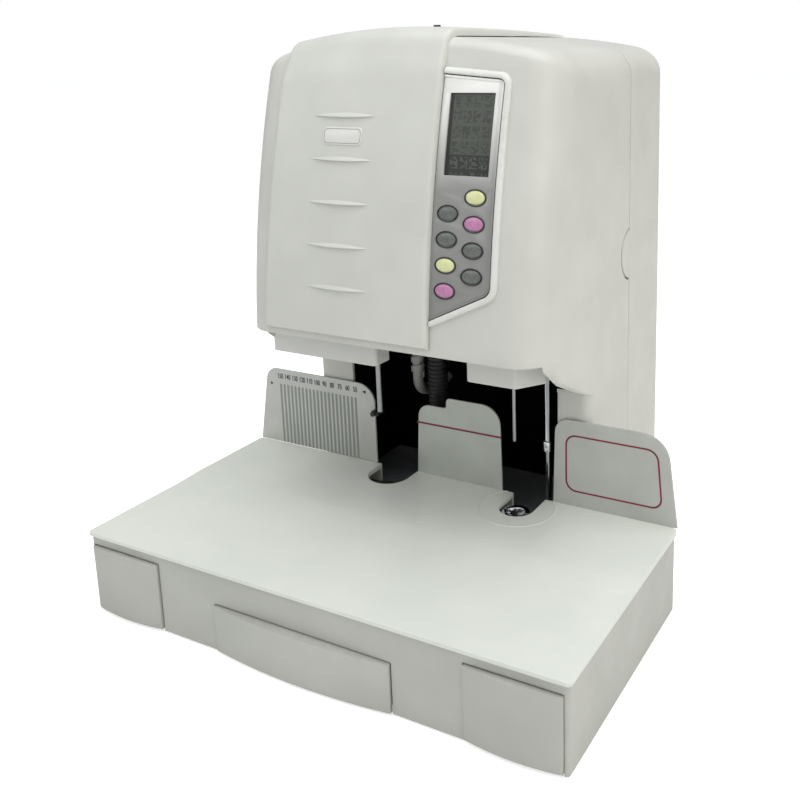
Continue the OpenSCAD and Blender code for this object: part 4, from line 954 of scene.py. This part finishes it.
# The housing's grey, a touch cooler and glossier where hands lift it.
cover_abs = moulded_abs("cover_abs", "#cfd1cb", "#c9cbc5", 0.38)
finger_x, finger_z, finger_pitch = -37.5, head_z + 47, 34.2
ribs = [lens_rib(finger_x, finger_z + finger_pitch * i, 61, 2.3, 2.4) for i in range(5)]
cover = facing_out(joined("front_cover_shell", [cover_skin()] + ribs + [knuckle(x) for x in hinge_xs]))
smooth(cover, 38)
dress(cover, cover_abs, "front_cover")
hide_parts("front_cover")

# The pad is paler and glossier plastic, with a fine grey line printed round it.
pad_z = head_z + 168


def pad_outline(half_x, half_z, r):
    return rounded_outline(finger_x - half_x, pad_z - half_z, finger_x + half_x, pad_z + half_z, r)


pad = face_film(pad_outline(19, 7, 4), cover_proud - 0.2, cover_proud + 0.75, "bare_pad")
rounded_edges(pad, 0.3)
smooth(pad, 40)
dress(pad, moulded_abs("pad_abs", "#dfe0dc", "#dadbd7", 0.3), "front_cover")
line = joined("pad_border", [face_film(quad, cover_proud + 0.6, cover_proud + 0.85)
                             for quad in ribbon(pad_outline(17.6, 5.6, 3), 0.5, True)])
dress(line, grey_ink, "front_cover")
softened("cover_latch", black_plastic, 0.4)

# ---- Control panel ----
# A silver-lacquered panel set in a bright raised rim, with painted shade between them as a dark strip in the
# gap, all following the rolled face. A clear window covers the display at the top.

# The glossiest plastic of all: the rim draws a bright line round the panel.
rim_abs = moulded_abs("gloss_rim_abs", "#dcdeda", "#d7d9d4", 0.26)
panel_fall, fall_from = 4.3, 20


def slanted(path):
    """The panel's outline as it is seen: its upper edge falls to the right."""
    dense = []
    for (ax, az), (bx, bz) in zip(path, path[1:]):
        count = max(1, round(math.hypot(bx - ax, bz - az) / 6))
        dense += [(ax + (bx - ax) * i / count, az + (bz - az) * i / count) for i in range(count)]
    fall = panel_fall / (panel_right - panel_left)
    return [(x, z + min(1, max(0, z - panel_top + fall_from) / fall_from) * (1 - fall * (x - panel_left)))
            for x, z in dense + path[-1:]]


def swept_rim():
    """Trim strip round the panel: a round bead with a small step towards the panel."""
    path = slanted(panel_outline(3, 10))
    profile = [(-0.9, -0.6), (-0.9, 2.3), (-0.7, 2.8), (-0.2, 3.2), (0.6, 3.4), (1.6, 3.3), (2.6, 2.9),
               (3.3, 2.2), (3.7, 1.3), (3.9, 0.4), (4.0, -0.6)]
    points, count = [], len(path)
    for i, (x, z) in enumerate(path):
        before, after = path[max(i - 1, 0)], path[min(i + 1, count - 1)]
        dx, dz = after[0] - before[0], after[1] - before[1]
        length = math.hypot(dx, dz)
        nx, nz = dz / length, -dx / length
        if i in (0, count - 1):
            nx, nz = 0, (-1 if i == 0 else 1)
        for side, out in profile:
            px, pz = x + nx * side, z + nz * side
            points.append((max(px, panel_left), face_y(pz) - out, pz))
    return tube("panel_trim", points, count, len(profile))


def traced(name, grow, width, height):
    """Raised line that follows the panel's outline."""
    path = slanted(panel_outline(grow, 10))
    return joined(name, [face_film(quad, 0.9, height) for quad in ribbon(path, width)])


rim = swept_rim()
smooth(rim, 50)
dress(rim, rim_abs, "panel_rim")
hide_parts("panel_rim")
# Painted shade: a dark strip laid in the gap between the rim and the panel, where shade falls.
dress(traced("panel_gap_shade", 1.7, 1.2, 1.5), moulded_black("painted_gap_shade", "#3f403c", 0.6), "panel_rim")


def silver_lacquer(name):
    """Metallic lacquer on plastic: a fine level brush, and painted light in the tone: a painted highlight at
    the top of the panel that darkens to painted shade at its foot.
    """
    material, tree = blank(name)
    place = add(tree, "ShaderNodeTexCoord")
    split = add(tree, "ShaderNodeSeparateXYZ", links={0: place.outputs["Object"]})
    painted_light_height = add(tree, "ShaderNodeMapRange", {"From Min": mm(270), "From Max": mm(440)},
               {"Value": split.outputs["Z"]})
    # Painted light: the tone runs from painted shade at the panel's foot to a painted highlight at its top.
    tone = add(tree, "ShaderNodeValToRGB", links={"Fac": painted_light_height.outputs[0]})
    tone.color_ramp.elements[0].color = linear("#8f908e")
    tone.color_ramp.elements[1].color = linear("#eaebe8")
    for at, shade in ((0.5, "#9d9e9c"), (0.64, "#b6b7b4"), (0.82, "#dadbd8")):
        tone.color_ramp.elements.new(at).color = linear(shade)
    flake = grain_map(tree, 0.45, 3.0, (0.05, 1, 1))
    sheen = add(tree, "ShaderNodeMapRange", spread(0.3, 0.42), {"Value": flake})
    brush = add(tree, "ShaderNodeBump", {"Strength": 0.15, "Distance": mm(0.01)}, {"Height": flake})
    lacquer = add(tree, "ShaderNodeBsdfPrincipled", {"Metallic": 0.3},
                  {"Base Color": tone.outputs[0], "Roughness": sheen.outputs[0], "Normal": brush.outputs[0]})
    finish_surface(tree, lacquer)
    return material


panel_silver = silver_lacquer("silver_lacquered_panel")
softened("panel_face", panel_silver, 0.25)
dress(traced("panel_bead", 0.4, 1.5, 1.8), panel_silver, "panel_face")

lcd_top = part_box("lcd_module")[1].z * 1000
lcd_left, lcd_foot_line, lcd_brim = 58.7, 383, 1.2
dot_w, dot_h, cell_w, cell_h = 1.7, 1.4, 8.3, 11.3


def display_glass(name):
    """Reflective grey-green display behind its window: idle dots in rows of cells, and a darker
    foot line. A near-black band along its left and top edges paints the display's black frame together with
    the shade of the recess. The dots are drawn at three times their real 0.5 mm pitch so that they show."""
    material, tree = blank(name)
    place = add(tree, "ShaderNodeTexCoord").outputs["Object"]
    split = add(tree, "ShaderNodeSeparateXYZ", links={0: place})
    flat = add(tree, "ShaderNodeVectorMath", {"operation": "MULTIPLY", 1: (1, 0, 1)}, {0: place})
    dot = add(tree, "ShaderNodeVectorMath", {"operation": "SNAP", 1: mm(dot_w, 1, dot_h)},
              {0: flat.outputs[0]})
    chance = add(tree, "ShaderNodeTexWhiteNoise", {"noise_dimensions": "3D"}, {"Vector": dot.outputs[0]})
    shown = add(tree, "ShaderNodeMath", {"operation": "GREATER_THAN", 1: 0.5}, {0: chance.outputs["Value"]})
    for axis, start, pitch, share in (("X", lcd_left + 0.9, cell_w, 0.82), ("Z", lcd_top - 2, -cell_h, 0.76)):
        along = add(tree, "ShaderNodeMath", {"operation": "SUBTRACT", 1: mm(start)}, {0: split.outputs[axis]})
        cells = add(tree, "ShaderNodeMath", {"operation": "DIVIDE", 1: mm(pitch)}, {0: along.outputs[0]})
        part = add(tree, "ShaderNodeMath", {"operation": "FRACT"}, {0: cells.outputs[0]})
        inside = add(tree, "ShaderNodeMath", {"operation": "LESS_THAN", 1: share}, {0: part.outputs[0]})
        shown = add(tree, "ShaderNodeMath", {"operation": "MULTIPLY"},
                    {0: shown.outputs[0], 1: inside.outputs[0]})
    foot = add(tree, "ShaderNodeMath", {"operation": "LESS_THAN", 1: mm(lcd_foot_line)},
               {0: split.outputs["Z"]})
    ground = add(tree, "ShaderNodeMix", {"data_type": "RGBA", 6: linear("#545a52"), 7: linear("#2b2f29")},
                 {0: foot.outputs[0]})
    pixel = add(tree, "ShaderNodeMix", {"data_type": "RGBA", 6: linear("#3d423b"), 7: linear("#595f57")},
                {0: foot.outputs[0]})
    marked = add(tree, "ShaderNodeMix", {"data_type": "RGBA"},
                 {0: shown.outputs[0], 6: ground.outputs[2], 7: pixel.outputs[2]})
    # Painted shade: a near-black band along the left and top edges stands for the black frame and the shade
    # of the recess around it.
    side = add(tree, "ShaderNodeMath", {"operation": "LESS_THAN", 1: mm(lcd_left)}, {0: split.outputs["X"]})
    top_frame_and_shade = add(tree, "ShaderNodeMath", {"operation": "GREATER_THAN", 1: mm(lcd_top - lcd_brim)},
               {0: split.outputs["Z"]})
    shade = add(tree, "ShaderNodeMath", {"operation": "MAXIMUM"}, {0: side.outputs[0], 1: top_frame_and_shade.outputs[0]})
    frame_and_shade = add(tree, "ShaderNodeMix", {"data_type": "RGBA", 7: linear("#121411")},
                 {0: shade.outputs[0], 6: marked.outputs[2]})
    glass = add(tree, "ShaderNodeBsdfPrincipled", {"Roughness": 0.5, "IOR": 1.5},
                {"Base Color": frame_and_shade.outputs[2]})
    finish_surface(tree, glass)
    return material


def clear_acrylic(name):
    """Clear acrylic window: see-through with a faint smoky tint, and the odd fine scratch."""
    material, tree = blank(name)
    haze = add(tree, "ShaderNodeMapRange", {"From Min": 0.4, "From Max": 0.8, "To Min": 0.12, "To Max": 0.2},
               {"Value": grain_map(tree, 12, 5.0, (1, 1, 0.3))})
    window = add(tree, "ShaderNodeBsdfPrincipled", {"IOR": 1.49, "Alpha": 0.12},
                 {"Base Color": clouded(tree, 30, 2.0, "#4a4e4a", "#525652"), "Roughness": haze.outputs[0]})
    finish_surface(tree, window)
    return material


window_gap = 0.15
window = softened("lcd_window", clear_acrylic("clear_acrylic"), 0.2, 1)
window.data.transform(Matrix.Translation(mm(0, -window_gap, 0)))
softened("lcd_module", display_glass("display_glass"), 0)
# Solder mask: glossy green over a fine weave.
softened("key_board", moulded_abs("green_solder_mask", "#2f6b3f", "#28603a", 0.3, 1.2, 0.01), 0)

# ---- Keys ----
# Eight oval domed keys of tinted silicone on short stems. Each sits in a dark surround that
# is printed and embossed on the panel.

key_w, key_h, key_pitch, key_top_z, key_left_x, key_right_x = 16.4, 10.6, 19.6, 352, 61.5, 84.5
left_drop = 12.8
key_places = [(x, key_top_z - drop - key_pitch * i) for x, drop in ((key_right_x, 0), (key_left_x, left_drop))
              for i in range(4)]


def silicone(name, tone, shade):
    """Tinted silicone: soft gloss, slightly clouded, with a thin clear skin over it."""
    material, tree = blank(name)
    gloss = add(tree, "ShaderNodeMapRange", spread(0.22, 0.34), {"Value": grain_map(tree, 2.0, 3.0)})
    key = add(tree, "ShaderNodeBsdfPrincipled", {"IOR": 1.42, "Coat Weight": 0.35, "Coat Roughness": 0.12},
              {"Base Color": clouded(tree, 5, 3.0, shade, tone), "Roughness": gloss.outputs[0]})
    finish_surface(tree, key)
    return material


def oval_dome(name, x, z):
    """Key cap, domed, with a rolled edge and the stem behind it."""
    tilt = math.asin((z - face_z) / face_r)
    tip, sides = 2.8, 36
    profile = [(0.3, 2.76), (0.55, 2.62), (0.75, 2.38), (0.88, 2.08), (0.96, 1.7), (1.0, 1.2), (1.0, 0.4)]
    stem_w, stem_h = key_w - 8, key_h - 5
    rings = [(key_w / 2 * s, key_h / 2 * s, out) for s, out in profile]
    rings += [(stem_w / 2, stem_h / 2, 0.4), (stem_w / 2, stem_h / 2, -5.8)]
    points = []
    for a, b, out in rings + [(0, 0, tip)]:
        for i in range(sides if a else 1):
            turn = 2 * math.pi * i / sides
            u, v = a * math.cos(turn), b * math.sin(turn)
            points.append((x + u, face_y(z) - out * math.cos(tilt) + v * math.sin(tilt),
                           z + v * math.cos(tilt) + out * math.sin(tilt)))
    faces = bands(len(rings), sides) + [tuple((len(rings) - 1) * sides + i for i in range(sides))]
    faces += [(len(points) - 1, i, (i + 1) % sides) for i in range(sides)]
    dome = facing_out(solid_from(name, points, faces))
    smooth(dome, 50)
    return dome


def oval_ring(x, z):
    """Embossed surround of a key: a low round bead on the panel."""
    sides, points = 40, []
    profile = ((1.0, 0.28), (1.75, 0.32), (1.9, 0.7), (1.75, 1.15), (1.0, 1.35))
    for out, grow in profile:
        for i in range(sides):
            turn = 2 * math.pi * i / sides
            px, pz = x + (key_w / 2 + grow) * math.cos(turn), z + (key_h / 2 + grow) * math.sin(turn)
            points.append((px, face_y(pz) - out, pz))
    return solid_from("surround", points, bands(len(profile), sides, closed=True))


yellow = silicone("yellow_green_silicone", "#dde1ae", "#d4d9a2")
pink = silicone("pink_silicone", "#c287b0", "#b87ca6")
grey = silicone("dark_grey_silicone", "#6a6f6c", "#606562")
for number, (x, z) in enumerate(key_places, 1):
    cap = oval_dome("key_cap_%d" % number, x, z)
    dress(cap, {1: yellow, 7: yellow, 2: pink, 8: pink}.get(number, grey), "key_%d" % number)
    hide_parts("key_%d" % number)
surrounds = facing_out(joined("key_surrounds", [oval_ring(x, z) for x, z in key_places]))
smooth(surrounds, 60)
dress(surrounds, moulded_black("dark_surround", "#2b2e2d", 0.4), "panel_face")

# ---- Drive ----
# Behind the cover: cast carriages on the rods, motors, toothed belts and ground spindles. The
# hollow drill and the punch are slim tool steel, dulled by oil and heat.

# Machined faces show broad level marks, turned ones fine rings; the motor cans stay dark.
cast_aluminium = metal("machined_cast_aluminium", "#b4b8bb", "#a5a9ac", 0.38, 2.5, (0.15, 1, 1), 0.02)
turned_aluminium = metal("turned_aluminium", "#c0c3c6", "#b0b3b6", 0.28, 0.7, (0.1, 0.1, 1))
motor_can = enamelled_steel("black_stoved_motor_can", "#43474a", "#3b3f42", 0.35, 2.0)
ground_steel = metal("ground_steel", "#c6cacd", "#b6babd", 0.2, 0.9, (0.1, 0.1, 1), 0.006)
tool_steel = metal("oiled_tool_steel", "#aeb0b1", "#9c9ea0", 0.42, 0.9, (0.1, 0.1, 1), 0.006)
for finish, radius_mm, segments, nodes in (
        (cast_aluminium, 0.6, 2, ("drill_carriage", "rivet_carriage")),
        (motor_can, 0.8, 2, ("drill_motor", "feed_motors")),
        (turned_aluminium, 0.25, 1, ("drill_motor_pulley", "drill_feed_pulley", "rivet_feed_pulley")),
        (ground_steel, 0.2, 1, ("drill_screw", "rivet_screw", "drill_spindle"))):
    for node in nodes:
        softened(node, finish, radius_mm, segments)
rod_share = 0.68
for node in ("drill_bit", "rivet_punch"):
    rod = softened(node, tool_steel, 0.2, 1)
    low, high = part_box(node)
    middle = Matrix.Translation(Vector(((low.x + high.x) / 2, (low.y + high.y) / 2, 0)))
    rod.data.transform(middle @ Matrix.Diagonal((rod_share, rod_share, 1, 1)) @ middle.inverted())
softened("punch_heater", brass, 0.4)
belt_rubber = black_rubber("belt_neoprene")
for node in ("drill_belt", "feed_belts"):
    softened(node, belt_rubber, 0)

# ---- Power inlet ----
# Snap-in socket of black nylon with three brass pins and a rocker switch above them. The
# rocker is a touch paler and glossier than its frame.

softened("power_inlet", moulded_black("inlet_nylon", "#1b1b1c", 0.42), 0.4)
softened("power_rocker", moulded_black("rocker_nylon", "#262628", 0.32), 0.4)
